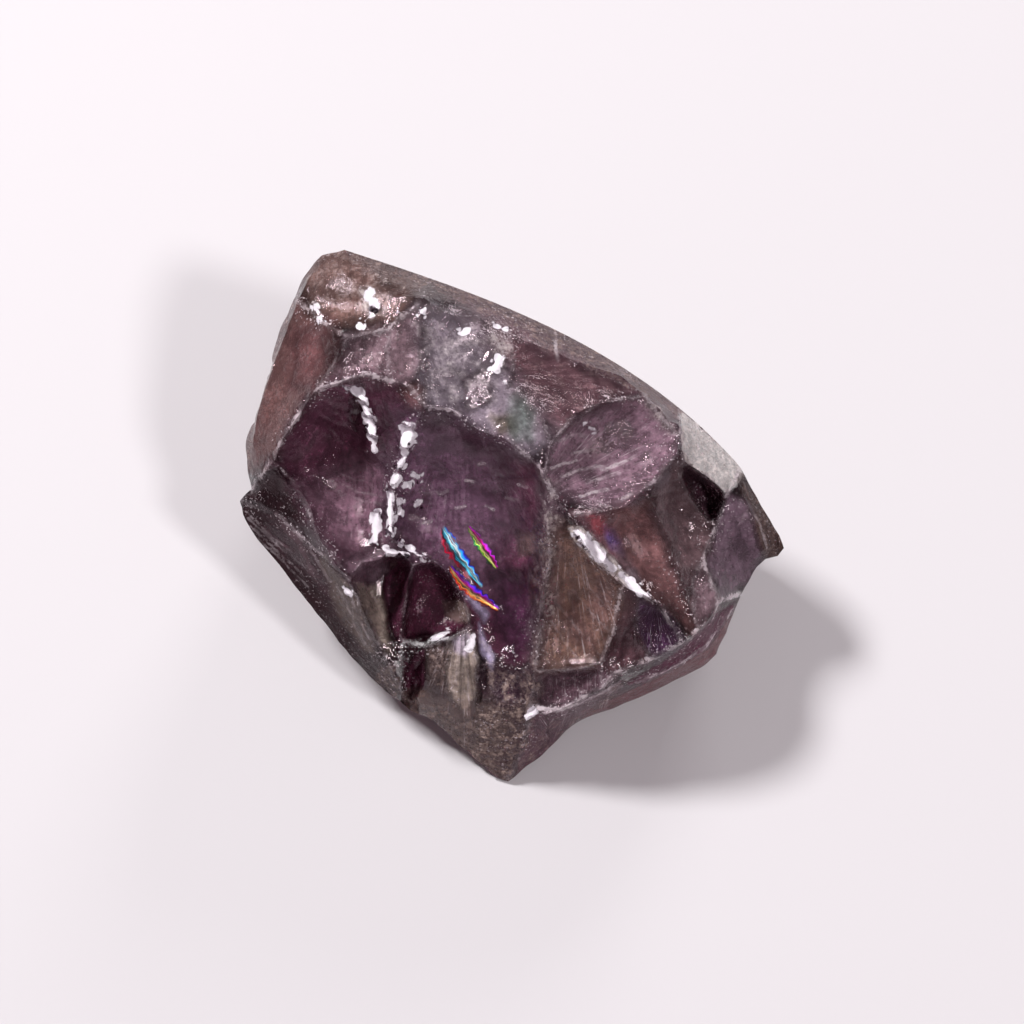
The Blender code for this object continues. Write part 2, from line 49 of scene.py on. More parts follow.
# the stone's face is worked on in sketch squares, the units in which it was drawn:
# u across, v up, h towards the viewer, with the broken face leaning back
sketch = {
    "widthInSquares": 54.4,
    "lean": math.radians(25),
    "tipLeft": (-27.2, 1.6, -2.2),      # these two tips of the outline fix where the sketch lies
    "tipLow": (-0.4, -26.6, -4.2),
    "baseDepth": 15.3,
}
stoneNode = "rough_alexandrite"
mm = 0.001
low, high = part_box(stoneNode)
square = (high.x - low.x) / sketch["widthInSquares"]
cosLean = math.cos(sketch["lean"])
sinLean = math.sin(sketch["lean"])
shiftX = low.x - sketch["tipLeft"][0] * square
shiftY = low.y - (cosLean * sketch["tipLow"][1] - sinLean * sketch["tipLow"][2]) * square
baseDepth = sketch["baseDepth"] * square


def toSketch(points):
    # metres to sketch squares, for an array of points
    x = points[:, 0] - shiftX
    y = points[:, 1] - shiftY
    z = points[:, 2] - baseDepth
    return np.stack([x, cosLean * y + sinLean * z, -sinLean * y + cosLean * z], axis=1) / square


def fromSketch(u, v, h):
    u, v, h = u * square, v * square, h * square
    return Vector((u + shiftX, cosLean * v - sinLean * h + shiftY, sinLean * v + cosLean * h + baseDepth))


def colour(hexText):
    # sRGB hex to the linear colour that a shader wants
    values = [int(hexText[i:i + 2], 16) / 255 for i in (0, 2, 4)]
    linear = [c / 12.92 if c <= 0.04045 else ((c + 0.055) / 1.055) ** 2.4 for c in values]
    return (*linear, 1.0)


def addNode(tree, kind, links=None, stops=None, **settings):
    # links fill input sockets with a value, a socket or a node, whose first live output is used
    node = tree.nodes.new("ShaderNode" + kind)
    for name, value in settings.items():
        setattr(node, name, value)
    for socket, value in (links or {}).items():
        if isinstance(value, bpy.types.Node):
            value = next(output for output in value.outputs if output.enabled)
        if isinstance(value, bpy.types.NodeSocket):
            tree.links.new(value, node.inputs[socket])
        else:
            node.inputs[socket].default_value = value
    for index, (position, value) in enumerate(stops or []):
        elements = node.color_ramp.elements
        element = elements[index] if index < 2 else elements.new(position)
        element.position = position
        element.color = value
    return node


def smoothStep(x):
    x = np.clip(x, 0, 1)
    return x * x * (3 - 2 * x)


stoneShape = {
    "creaseAngle": math.radians(24),    # sharper folds than this stay sharp
    "levels": 2,
    "longEdge": 0.30 * mm,
    "cuts": 2,
}


def distanceToLines(places, lines):
    # nearest distance from each place to any of the polylines, all in sketch squares
    best = np.full(len(places), 1e9)
    for line in lines:
        points = np.array(line, float)
        for start, end in zip(points, points[1:]):
            run = end - start
            share = np.clip(((places - start) @ run) / max(run @ run, 1e-9), 0, 1)
            best = np.minimum(best, np.hypot(*(places - start - share[:, None] * run).T))
    return best


def insideOutline(places, corners):
    corners = np.array(corners, float)
    count = np.zeros(len(places), int)
    for start, end in zip(corners, np.roll(corners, -1, axis=0)):
        crosses = (start[1] > places[:, 1]) != (end[1] > places[:, 1])
        rise = end[1] - start[1] if end[1] != start[1] else 1e-9
        meets = start[0] + (places[:, 1] - start[1]) * (end[0] - start[0]) / rise
        count += crosses & (meets > places[:, 0])
    return count % 2 == 1


def softRegion(places, corners, blur):
    # 1 well inside a given outline, 0 well outside, blurred over its edge
    closed = list(corners) + [corners[0]]
    distance = distanceToLines(places, [closed])
    signed = np.where(insideOutline(places, corners), distance, -distance)
    return smoothStep(signed / blur * 0.5 + 0.5)


def noiseField(points, size, seed, octaves=3):
    # fractal noise about 0 for an array of points, with lumps of the given size
    shift = Vector((seed * 7.3, seed * 3.1, seed * 5.7))
    return np.array([noise.fractal(Vector(p) / size + shift, 1.0, 2.0, octaves) for p in points])


def noisePair(points, size, seed):
    # a wander across and up the sketch, for an array of points
    return np.stack([noiseField(points, size, seed), noiseField(points, size, seed + 1)], axis=1)


def makeStone():
    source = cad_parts[stoneNode]
    mesh = source.data.copy()
    stone = bpy.data.objects.new("alexandrite_chunk", mesh)
    bpy.context.collection.objects.link(stone)
    bpy.ops.object.select_all(action="DESELECT")
    bpy.context.view_layer.objects.active = stone
    stone.select_set(True)

    bpy.ops.object.mode_set(mode="EDIT")
    bpy.ops.mesh.select_all(action="SELECT")
    bpy.ops.mesh.remove_doubles(threshold=1e-6)
    bpy.ops.object.mode_set(mode="OBJECT")

    # keep the ridges sharp while the fracture faces between them are rounded
    shape = bmesh.new()
    shape.from_mesh(mesh)
    crease = shape.edges.layers.float.new("crease_edge")
    for edge in shape.edges:
        if len(edge.link_faces) == 2 and edge.calc_face_angle(0) > stoneShape["creaseAngle"]:
            edge[crease] = 1.0
    shape.to_mesh(mesh)
    shape.free()
    rounding = stone.modifiers.new("rounding", "SUBSURF")
    rounding.levels = rounding.render_levels = stoneShape["levels"]
    bpy.ops.object.modifier_apply(modifier=rounding.name)

    # the long faces that look forward are cut finer, to carry the same detail as the rest
    shape = bmesh.new()
    shape.from_mesh(mesh)
    bmesh.ops.triangulate(shape, faces=shape.faces)
    view = fromSketch(0, 0, 1) - fromSketch(0, 0, 0)
    for _ in range(stoneShape["cuts"]):
        shape.normal_update()
        long = [edge for edge in shape.edges if edge.calc_length() > stoneShape["longEdge"]
                and any(face.normal.dot(view) > 0 for face in edge.link_faces)]
        bmesh.ops.subdivide_edges(shape, edges=long, cuts=1)
        bmesh.ops.triangulate(shape, faces=shape.faces)
    shape.to_mesh(mesh)
    shape.free()
    return stone


stone = makeStone()
print("stone mesh", len(stone.data.polygons), "faces")


# the larger fracture faces: how strongly their strands show, the place that the crack spread
# from, the height and spacing of its rings, the height of its hackle, and the outline
fractures = {
    "left bowl": dict(strands=0.55, start=(-14.5, 16), rings=0.045, ringStep=1.9, hackle=0.05, outline=[
        (-23.5, 5.5), (-21.2, 9.7), (-19, 12.6), (-14.2, 14), (-8.6, 11), (-10.2, 7.7), (-11.4, 4.2),
        (-11.9, 0.2), (-11.7, -2.8), (-14.9, -4.5), (-16, -6.3), (-19.4, -1.3), (-20.9, 2.5)]),
    "right bowl": dict(strands=0.45, start=(-5, 13), rings=0.035, ringStep=2.6, hackle=0.035, outline=[
        (-8.4, 10.6), (-4.9, 9.5), (-0.7, 7.5), (2.3, 5), (3.8, 2), (3.2, -4.3), (2.6, -12.3),
        (2.2, -14.8), (-1.9, -13.6), (-4.2, -10.6), (-6, -5.6), (-9.8, -4.6), (-11.6, -2.6),
        (-11.7, 0.2), (-11.2, 4.2), (-10, 7.7)]),
    "dish": dict(strands=0.55, start=(1, 1), rings=0.02, ringStep=1.4, hackle=0.04, outline=[(3.3, 4.3),
        (4, 7.2), (6, 9.4), (8.8, 11), (13, 11.8), (16.2, 7.7), (14.2, 3.7), (11, 1.1), (7.8, 0.6),
        (4.2, 2.7)]),
    "olive face": dict(strands=0.6, start=(5, 4), rings=0.02, ringStep=1.8, hackle=0.07, outline=[
        (4.3, 2.3), (5.5, -0.2), (9.3, -5.5), (11.2, -8.4), (9.8, -11.5), (8.5, -14.2), (2.6, -15),
        (3.1, -8.3), (4, -4.3), (3.6, -0.3)]),
    "window": dict(strands=0.35, start=(9, 3), rings=0.02, ringStep=2.2, hackle=0.03, outline=[
        (5.6, 0.2), (9.8, 0.5), (12.8, 2.5), (15.3, -2.3), (16.8, -7.3), (17.8, -9.8), (16.6, -12),
        (14.5, -8.5), (9.4, -5.2), (6.5, -1.3)]),
    "grey face": dict(strands=0.5, start=(15, 6), rings=0.03, ringStep=1.8, hackle=0.04, outline=[
        (13, 2.6), (16.4, 5.8), (16.6, 3.9), (17.8, 1.4), (20.2, -0.7), (18.8, -4.3), (17.8, -6.3),
        (16.8, -7.3), (15.4, -2.3)]),
    "pink face": dict(strands=1, start=(11.5, -7), rings=0.02, ringStep=1, hackle=0.05, outline=[
        (11, -6.8), (12.3, -7.6), (11.9, -11.3), (13.6, -13.7), (10, -15.2), (8.9, -14.3),
        (9.9, -11.5)]),
    "glittery face": dict(strands=1.4, start=(14, -8), rings=0.05, ringStep=0.9, hackle=0.12, outline=[
        (12.6, -7.6), (14.3, -8.6), (16.6, -12.2), (13.8, -13.7), (12, -11.3)]),
    "ground face": dict(strands=0.35, start=(60, 30), rings=0, ringStep=2, hackle=0.02, outline=[
        (16.4, 11.2), (23.4, 5.4), (22.4, 3.7), (21.3, 2.4), (16.8, 5.5), (16.4, 7.7)]),
    "left plane": dict(strands=0.08, start=(-23, 22), rings=0, ringStep=2, hackle=0.015, outline=[
        (-21.3, 21.4), (-17.7, 18.5), (-17.2, 15.2), (-19, 12.8), (-22.8, 7.2), (-25.2, 4.9),
        (-25, 11.2), (-22.2, 19.2)]),
    "haze": dict(strands=0.35, start=(-9, 22), rings=0.04, ringStep=1.5, hackle=0.05, outline=[
        (-8.7, 21), (-3.2, 19.3), (-0.4, 18), (0, 15), (2.6, 10.2), (3.6, 7.2), (1.2, 6.4), (-2.2, 8.3),
        (-5.7, 10.6), (-8.3, 11), (-8.4, 15.7)]),
    "grained face": dict(strands=0.5, start=(-2, 14), rings=0.015, ringStep=1.2, hackle=0.05, outline=[
        (0, 17.6), (6.8, 15), (13, 12), (8.8, 11.3), (5.9, 9.8), (3.8, 7.6), (1.1, 12), (0, 14.6)]),
    "slate face": dict(strands=0.3, start=(-13, 19), rings=0.02, ringStep=1.4, hackle=0.04, outline=[
        (-16, 17.4), (-12, 18.6), (-12.4, 15), (-12.2, 13.6), (-18.8, 12.8), (-17, 15.2)]),
    "left wall": dict(strands=0.5, start=(-40, 12), rings=0, ringStep=2, hackle=0.05, outline=[
        (-27, 1.4), (-23.2, 0), (-19.7, -3.3), (-16, -6.5), (-13.4, -12.3), (-11.2, -18),
        (-16.2, -14.2), (-22.2, -6.5), (-26.6, -0.6)]),
    "tip": dict(strands=1.2, start=(-2, -12), rings=0.05, ringStep=0.9, hackle=0.07, outline=[
        (-3.5, -17.3), (1.8, -18.8), (3.3, -19.5), (4.8, -21.5), (-0.4, -26.6), (-3.3, -24.6)]),
    "flakes": dict(strands=1.2, start=(-5, -8), rings=0.04, ringStep=1.1, hackle=0.09, outline=[
        (-8.2, -12.8), (-4.2, -10.8), (-3.4, -14.3), (-3.6, -20), (-7, -20.8), (-8.6, -16)]),
    "lower right wall": dict(strands=0.6, start=(14, 10), rings=0.03, ringStep=1.3, hackle=0.05, outline=[
        (22.6, -8.5), (19.6, -10), (13.8, -14), (8.8, -17), (3.5, -19.7), (3.6, -23), (8.8, -19.6),
        (19.3, -15), (21.8, -10.8)]),
}

# small fracture steps that stand square to the key light, so that each one flashes, with a painted
# glint as well: how far each is lifted at its middle, in squares, and its outline
flashes = {
    "wedge top": (0.1, [(-16.6, 12.9), (-14.6, 12.6), (-13.9, 10.6), (-14.9, 11.4)]),
    "wedge": (0.12, [(-14.7, 11.2), (-13.9, 10.6), (-13.2, 8.6), (-13.6, 6.4), (-14.4, 8.4)]),
    "chain one": (0.1, [(-10.9, 9.1), (-9.5, 9), (-9.6, 7.4), (-10.3, 6.6), (-11, 6.8)]),
    "chain two": (0.1, [(-10.8, 6.3), (-10, 6.5), (-10.7, 4.9), (-11.5, 4.6)]),
    "chain three": (0.1, [(-11.6, 4.4), (-10.8, 4.6), (-11.4, 3), (-12.1, 3.2)]),
    "long bar": (0.12, [(-12.4, 2.6), (-11.7, 2.6), (-11.7, -1.9), (-12.3, -1.7)]),
    "short bar": (0.12, [(-13.9, 0.7), (-13.1, 0.6), (-13.2, -2.9), (-13.9, -2.6)]),
    "sliver": (0.08, [(-11.3, 1.7), (-10.8, 1.6), (-10.9, 0), (-11.4, 0.2)]),
    "fleck one": (0.06, [(-9.8, 4.3), (-9, 4.3), (-9.1, 3.6), (-9.9, 3.7)]),
    "fleck two": (0.06, [(-10.4, 3.6), (-9.8, 3.5), (-10, 2.8), (-10.6, 3)]),
    "fleck three": (0.06, [(-9.6, 1.6), (-9, 1.5), (-9.1, 0.9), (-9.7, 1)]),
    "fan one": (0.07, [(-11.6, -2.5), (-11.2, -2.3), (-8.2, -4.1), (-8.6, -4.3)]),
    "fan two": (0.07, [(-12.8, -2.9), (-11.9, -3.2), (-10.2, -3.6), (-10.4, -4), (-12.4, -3.6)]),
    "bright streak": (0.14, [(5.7, -1.2), (6.5, -1), (7.5, -1.9), (9.2, -3.7), (10.4, -5), (9.6, -5.2),
        (8.2, -4.2), (6.6, -2.4)]),
    "streak end": (0.1, [(10.4, -5.5), (11.2, -5.6), (13, -7.2), (14.1, -8.3), (13, -7.9),
        (11.4, -6.7)]),
    "crescent": (0.1, [(-8.1, -12), (-7.2, -11.5), (-6.2, -11.3), (-6.3, -11.8), (-7.3, -12.2)]),
    "white triangle": (0.1, [(-4.9, -13.1), (-3.8, -11.7), (-3.6, -13.2)]),
    "corner streak": (0.1, [(-19.8, 21), (-19.4, 21.2), (-18.4, 19.3), (-18.9, 19.1)]),
    "bruise": (0.12, [(-14.6, 22.6), (-13.8, 22.4), (-13.1, 20.2), (-13.9, 19.8)]),
    "bruise fleck": (0.06, [(-15.2, 19.2), (-14.6, 19.3), (-14.5, 18.6), (-15.1, 18.6)]),
    "peak fleck": (0.06, [(-9.2, 20.4), (-8.6, 20.5), (-8.7, 19.7), (-9.2, 19.8)]),
    "haze fleck": (0.06, [(-5.2, 18.3), (-4.2, 18.5), (-4.3, 17.9), (-5.1, 17.8)]),
    "bump arc": (0.08, [(-1.7, 19.1), (-0.4, 18.6), (-0.5, 18.2), (-1.7, 18.7)]),
    "drop": (0.1, [(-1.5, 15.8), (-1, 15.6), (-1.4, 14.2), (-2.2, 14.4)]),
    "grain fleck": (0.06, [(-0.9, 13.5), (-0.4, 13.4), (-0.4, 12.9), (-0.9, 13)]),
    "dish fleck": (0.08, [(7.2, 9.1), (8.2, 8.8), (8.4, 8.3), (7.4, 8.5)]),
    "shoulder fleck": (0.06, [(-16.6, -7), (-15.9, -7.1), (-16, -7.7), (-16.6, -7.6)]),
    "tip fleck": (0.08, [(1.1, -19.6), (2.4, -18.7), (2.6, -19.2), (1.5, -20.2)]),
}
# the direction halfway between the viewer and the key light, across, up and out of the sketch
flashNormal = (-0.313, 0.402, 0.861)

# small deep places broken out between the faces: depth in squares, and outline
pits = {
    "left cell": (0.75, [(-12.5, -5.8), (-11.2, -4.7), (-10.3, -5.1), (-10.8, -8.8), (-11.2, -12.2),
        (-12.2, -10.9), (-12.7, -8.2)]),
    "right cell": (0.6, [(-9.7, -5.2), (-8, -4.8), (-6.3, -6.4), (-5.3, -8.6), (-4.7, -10.6),
        (-6.5, -11.5), (-8.5, -12.1), (-10.4, -11.8), (-10.2, -8.8)]),
    "flake hole": (0.8, [(-8.7, -13.2), (-9.6, -13.9), (-10.4, -15.6), (-10.6, -17.6), (-9.9, -18.2),
        (-8.9, -16.6)]),
    "flake gap": (0.6, [(-3.1, -14.7), (-2.6, -15.2), (-2.3, -17.6), (-3, -18.2), (-3.4, -16.5)]),
    "dark hollow": (0.8, [(17.1, 5.2), (18.8, 3.9), (20.9, 1.9), (20.5, 0.1), (19.4, -0.2),
        (17.7, 2.6)]),
    "under the rim": (0.3, [(3.6, -15.7), (8.6, -15.1), (10.2, -15.6), (8.4, -17.2), (4.6, -18.5),
        (3.4, -18.2)]),
    "fold": (0.35, [(-15.6, 13.2), (-14.4, 13), (-14.6, 10.8), (-15.4, 8.6), (-16.2, 9.4),
        (-15.8, 11.4)]),
}

# single scratches, cuts and hackle lines: strength and half width in squares, then the line
scratches = {
    "corner": (0.9, 0.14, [(-19.7, 21.3), (-19, 20.2), (-18.7, 19.2)]),
    "upright": (0.7, 0.12, [(4.3, 18.3), (4.25, 16.8), (4.5, 15.3)]),
    "bowl fold": (0.45, 0.03, [(-19.1, 10.5), (-18.2, 9), (-17.2, 7.7)]),
    "bowl fold low": (0.35, 0.03, [(-18.2, 11.9), (-17, 9.9), (-16.2, 9)]),
    "ripple one": (0.5, 0.05, [(-16.9, 3.3), (-15.4, 2.5), (-13.9, 2.3), (-12.7, 1.9)]),
    "ripple two": (0.45, 0.04, [(-16.2, 2.2), (-14.9, 1.6), (-13, 1.3)]),
    "ripple three": (0.4, 0.04, [(-17.2, 4.4), (-15.7, 3.7), (-14.6, 3.6)]),
    "arc": (0.8, 0.08, [(-12.8, -2.7), (-12, -3.5), (-11.2, -3.8), (-10, -3.8)]),
    "fan": (0.6, 0.05, [(-11.8, -2.3), (-9.9, -3), (-8, -4)]),
    "fan low": (0.5, 0.05, [(-11.6, -3), (-10, -3.5), (-8.6, -4.4)]),
    # painted highlight along the soft fold of the left wall
    "wall fold": (0.35, 0.1, [(-25.7, 1.7), (-23.2, 0.1), (-21.4, -1.5), (-19.9, -3.5), (-18, -6.4)]),
    "wall line one": (0.5, 0.03, [(-26.6, 0.6), (-24, -2), (-20.8, -4.4)]),
    "wall line two": (0.5, 0.03, [(-26.4, -0.1), (-23.6, -2.7), (-20.4, -5.2)]),
    "wall line three": (0.45, 0.03, [(-26.2, -0.9), (-23.2, -3.7), (-20.6, -6)]),
    "wall line four": (0.4, 0.03, [(-25.4, -2.2), (-22.6, -4.8), (-20.4, -7)]),
    "wall streak": (0.4, 0.08, [(-17.4, -6.8), (-16.4, -8.6), (-15.6, -10.8), (-14.6, -12.6)]),
    "wall streak low": (0.4, 0.06, [(-16, -7.6), (-15.2, -10), (-14.1, -12.2)]),
    "crescent": (0.95, 0.1, [(-8.3, -12.4), (-7.6, -11.7), (-6.2, -11.4)]),
    "dish one": (0.95, 0.11, [(3.8, 4.7), (5.2, 5.3), (6.3, 5.5)]),
    "dish two": (0.95, 0.11, [(4.8, 3.9), (6.6, 4.6), (8.8, 5.1)]),
    "dish three": (0.95, 0.11, [(5.8, 6.2), (7, 6.5), (8, 6.5)]),
    "dish four": (0.95, 0.11, [(7.3, 3.3), (8.8, 3.8), (10.6, 4.3)]),
    "dish five": (0.95, 0.11, [(8.8, 4.7), (10.2, 5.1), (11.3, 5.5)]),
    "dish six": (0.95, 0.11, [(4.6, 7.4), (6, 8), (7.2, 8)]),
    "dish seven": (0.95, 0.11, [(6.6, 2), (8.2, 2.5), (9.4, 2.7)]),
    "olive one": (0.45, 0.06, [(4.5, -8.6), (6.6, -11.2), (8.5, -13.4)]),
    "olive two": (0.4, 0.05, [(6, -7.2), (7.9, -9.6), (9.6, -11.2)]),
    "olive three": (0.4, 0.05, [(3.8, -10.1), (5.2, -12.4), (6.7, -14.1)]),
    "olive four": (0.35, 0.04, [(5.6, -4.4), (7.4, -6.8), (9.4, -8.8)]),
    "floor line": (0.5, 0.03, [(-8.7, 2.2), (-7.5, 2.6), (-6.3, 2.5)]),
    "floor line low": (0.4, 0.03, [(-4.6, -0.6), (-3.6, -1.2), (-2.8, -1.3)]),
    "bump": (0.45, 0.07, [(-1.6, 19), (-0.4, 18), (0, 16.8), (-0.2, 15.2)]),
    "haze one": (0.5, 0.1, [(-4.9, 18.1), (-3.4, 18.4), (-2.2, 17.6)]),
    "haze two": (0.4, 0.06, [(-7.6, 18.8), (-7.2, 16.4), (-6.4, 14.6)]),
    "haze three": (0.4, 0.05, [(-5.6, 16.4), (-4.6, 13.8), (-3.6, 12)]),
    "lip": (0.5, 0.06, [(23, 2.2), (24.6, -0.6), (25.4, -3.2)]),
    "rim": (0.6, 0.08, [(2.8, -19.4), (6.2, -18.6), (8.8, -17.4), (10.6, -16.2)]),
    "dash one": (1, 0.09, [(-2.6, 1.1), (-1.8, 0.8)]),
    "dash two": (1, 0.09, [(-7.2, 2.3), (-6.4, 2.6)]),
    "dash three": (1, 0.09, [(-4.6, 3.6), (-3.8, 3.5)]),
    "dash four": (1, 0.09, [(-1.6, 4.2), (-0.8, 4)]),
    "dash five": (1, 0.09, [(0.6, 3.2), (1.5, 2.9)]),
    "dash six": (1, 0.09, [(-3.4, 5.2), (-2.6, 5.3)]),
    "dash seven": (1, 0.09, [(-0.6, 1.9), (0.5, 1.7)]),
    "dash eight": (1, 0.09, [(-5.6, 0.9), (-4.6, 1.1)]),
    "dash nine": (1, 0.09, [(-8.9, -0.6), (-8, -0.4)]),
    "dash ten": (1, 0.09, [(-15.2, 6.8), (-14.4, 6.5)]),
    "facet joint": (0.5, 0.08, [(18.9, -4.4), (19.6, -6.2), (20.3, -8), (22.6, -7.9)]),
}

faceDetail = {
    "strands": 0.4,             # how strongly the strands show outside the fracture faces
    "unevenSize": 2.2 * mm,     # gentle unevenness of every fracture face
    "uneven": 0.10,             # squares
    "crumbSize": 0.45 * mm,     # crumbling along the ridges
    "ridgeBite": 0.22,          # squares
    "ridgeReach": 0.8,          # squares to each side
    "step": 2.2,                # squares, the height of the steps in a struck place
    "stepWander": 1.2,          # squares
    "tear": 0.30,               # squares, how ragged the edge of a pit or a small step is
    "tearSize": 0.5 * mm,
    "pitBlur": 0.35,            # squares
    "flashBlur": 0.22,          # squares
}

# the ridges where the fracture faces meet: how much white powder clings to each, the half
# width of the crushed strip, and its line
ridgeLines = {
    "left bowl": (0.8, 0.1, [(-26, 2.8), (-24.4, 4.7), (-22.9, 7.2), (-21.2, 9.7), (-19, 12.6),
        (-16.7, 13.2), (-14.2, 14), (-12, 13.3), (-10, 12.8), (-8.4, 10.8)]),
    "right bowl": (0.7, 0.08, [(-8.4, 10.8), (-5.7, 10.4), (-3.7, 8.7), (-0.7, 7.7), (2.3, 5.2),
        (4, 2.5)]),
    "hackle": (0.35, 0.05, [(4, 2.5), (3.4, -0.3), (3.8, -4.3), (2.9, -8.3), (2.6, -12.3),
        (2.3, -15.1)]),
    "between bowls": (0.35, 0.03, [(-8.4, 10.8), (-10.2, 7.7), (-11.4, 4.2), (-11.9, 0.2),
        (-11.7, -2.8)]),
    "right rim": (0.9, 0.12, [(1.8, -18.8), (4.8, -19), (8.8, -16.8), (10, -15.3), (13.8, -13.8),
        (16.8, -12.3), (19.6, -9.8), (20.4, -8.2), (23, -7.7)]),
    "fork": (0.7, 0.04, [(22.8, 4.9), (21.3, 2.4), (20.4, -0.5), (19.1, -3.1), (18.8, -4.3),
        (19.6, -6.3), (20.4, -8.2)]),
    "fork arm": (0.5, 0.03, [(18.8, -4.3), (17.8, -6.3), (17.9, -9.9), (18.3, -11.1)]),
    "left fold": (0.5, 0.03, [(-27.2, 1.6), (-23.2, 0.2), (-19.7, -3.1), (-17.7, -4.3)]),
    "shoulder": (0.5, 0.03, [(-23.5, 5.5), (-20.9, 2.5), (-19.4, -1.3), (-16, -6.3), (-14.7, -9.3),
        (-12, -14.8)]),
    "ledge": (0.4, 0.03, [(-16, -6.3), (-14.9, -4.5), (-11.7, -2.8), (-9.8, -4.8), (-7.9, -4.3),
        (-6, -5.8), (-4.8, -8), (-4.2, -10.8), (-1.9, -13.8), (2.3, -15.1)]),
    "post": (0.35, 0.03, [(-9.8, -4.8), (-10.7, -8.8), (-10.9, -12.3), (-11, -17)]),
    "corner": (0.6, 0.1, [(-21.3, 21.5), (-18.7, 19.2), (-15.9, 17.5), (-12.3, 18.3), (-8.7, 21.4)]),
    "slate left": (0.35, 0.03, [(-15.9, 17.5), (-17.2, 15.2), (-19, 12.6)]),
    "slate right": (0.25, 0.03, [(-11.5, 19.2), (-12.2, 16.8), (-12, 13.3)]),
    "haze left": (0.2, 0.03, [(-8.7, 21.4), (-9.2, 18.7), (-8.4, 15.7), (-8.4, 10.8)]),
    "bump": (0.4, 0.03, [(-0.4, 18), (0.1, 14.9), (-0.4, 13.2), (2.6, 10.2), (3.8, 7.2)]),
    "streak": (0.7, 0.08, [(5.3, 0.3), (7.8, -3.8), (10.8, -6.5), (14.3, -8.5), (16.8, -12.3)]),
    "window edge": (0.15, 0.03, [(12.8, 2.7), (15.3, -2.3), (16.8, -7.3), (17.9, -9.9)]),
    "pink left": (0.6, 0.08, [(10.8, -6.5), (9.8, -11.5), (8.7, -14.3), (8.8, -16.8)]),
    "pink right": (0.4, 0.03, [(12.4, -7.4), (11.9, -11.3), (13.8, -13.8)]),
    "olive foot": (0.5, 0.03, [(2.3, -15.1), (6.3, -15), (8.7, -14.3)]),
    "dish": (0.5, 0.05, [(3.1, 4.1), (3.8, 7.2), (5.9, 9.6), (8.8, 11.2), (13, 12), (16.4, 7.7),
        (14.3, 3.7), (12.8, 2.7), (7.8, 0.4), (5.3, 0.3), (4, 2.5)]),
    "ground edge": (0.5, 0.03, [(16.6, 10.6), (16.4, 7.7), (16.8, 5.5), (18.8, 4.2), (21.3, 2.4)]),
    "hollow foot": (0.3, 0.03, [(16.8, 5.5), (16.6, 3.9), (17.8, 1.5), (19.3, -0.4), (20.4, -0.5)]),
    "flakes": (0.5, 0.03, [(-10.9, -12.3), (-8.2, -12.8), (-5.7, -11.9), (-4.2, -10.8), (-3.4, -14.3),
        (-3.5, -17.3)]),
    "flake split": (0.4, 0.03, [(-5.7, -11.9), (-5.4, -15.3), (-6, -17.6)]),
    "tip spine": (0.35, 0.03, [(2.3, -15.1), (1.8, -18.8), (1.3, -22.3), (-0.4, -26.6)]),
    "wall break": (0.6, 0.04, [(22.6, -8.7), (19, -13.2), (15.3, -15.4), (9.5, -17.3), (10, -15.3)]),
}


def meshPoints(mesh):
    points = np.empty(len(mesh.vertices) * 3)
    mesh.vertices.foreach_get("co", points)
    return points.reshape(-1, 3)


def faceShare(mesh):
    # how far each point belongs to the broken face, 1, and not to the walls behind, 0
    normals = np.empty(len(mesh.vertices) * 3)
    mesh.vertex_normals.foreach_get("vector", normals)
    normals = normals.reshape(-1, 3)
    facing = normals @ np.array([0, -sinLean, cosLean])
    return smoothStep((facing + 0.02) / 0.12), normals


def distanceFromSilhouette(flat, front):
    # distance in the sketch from the nearest point of the outline, capped at 2 squares
    rim = np.array([(u, v) for (u, v), share in zip(flat, front) if 0.2 < share < 0.8])
    best = np.full(len(flat), 2.0)
    for start in range(0, len(flat), 4000):
        block = flat[start:start + 4000]
        gaps = np.hypot(block[:, None, 0] - rim[None, :, 0], block[:, None, 1] - rim[None, :, 1])
        best[start:start + 4000] = np.minimum(2.0, gaps.min(axis=1))
    return best


def nearestLine(flat, lines):
    # for each point the nearest line's distance, less its half width, and its strength
    nearest = np.full(len(flat), 3.0)
    strength = np.zeros(len(flat))
    for lineStrength, halfWidth, line in lines:
        distance = distanceToLines(flat, [line]) - halfWidth
        strength = np.where(distance < nearest, lineStrength, strength)
        nearest = np.minimum(nearest, distance)
    return nearest, strength


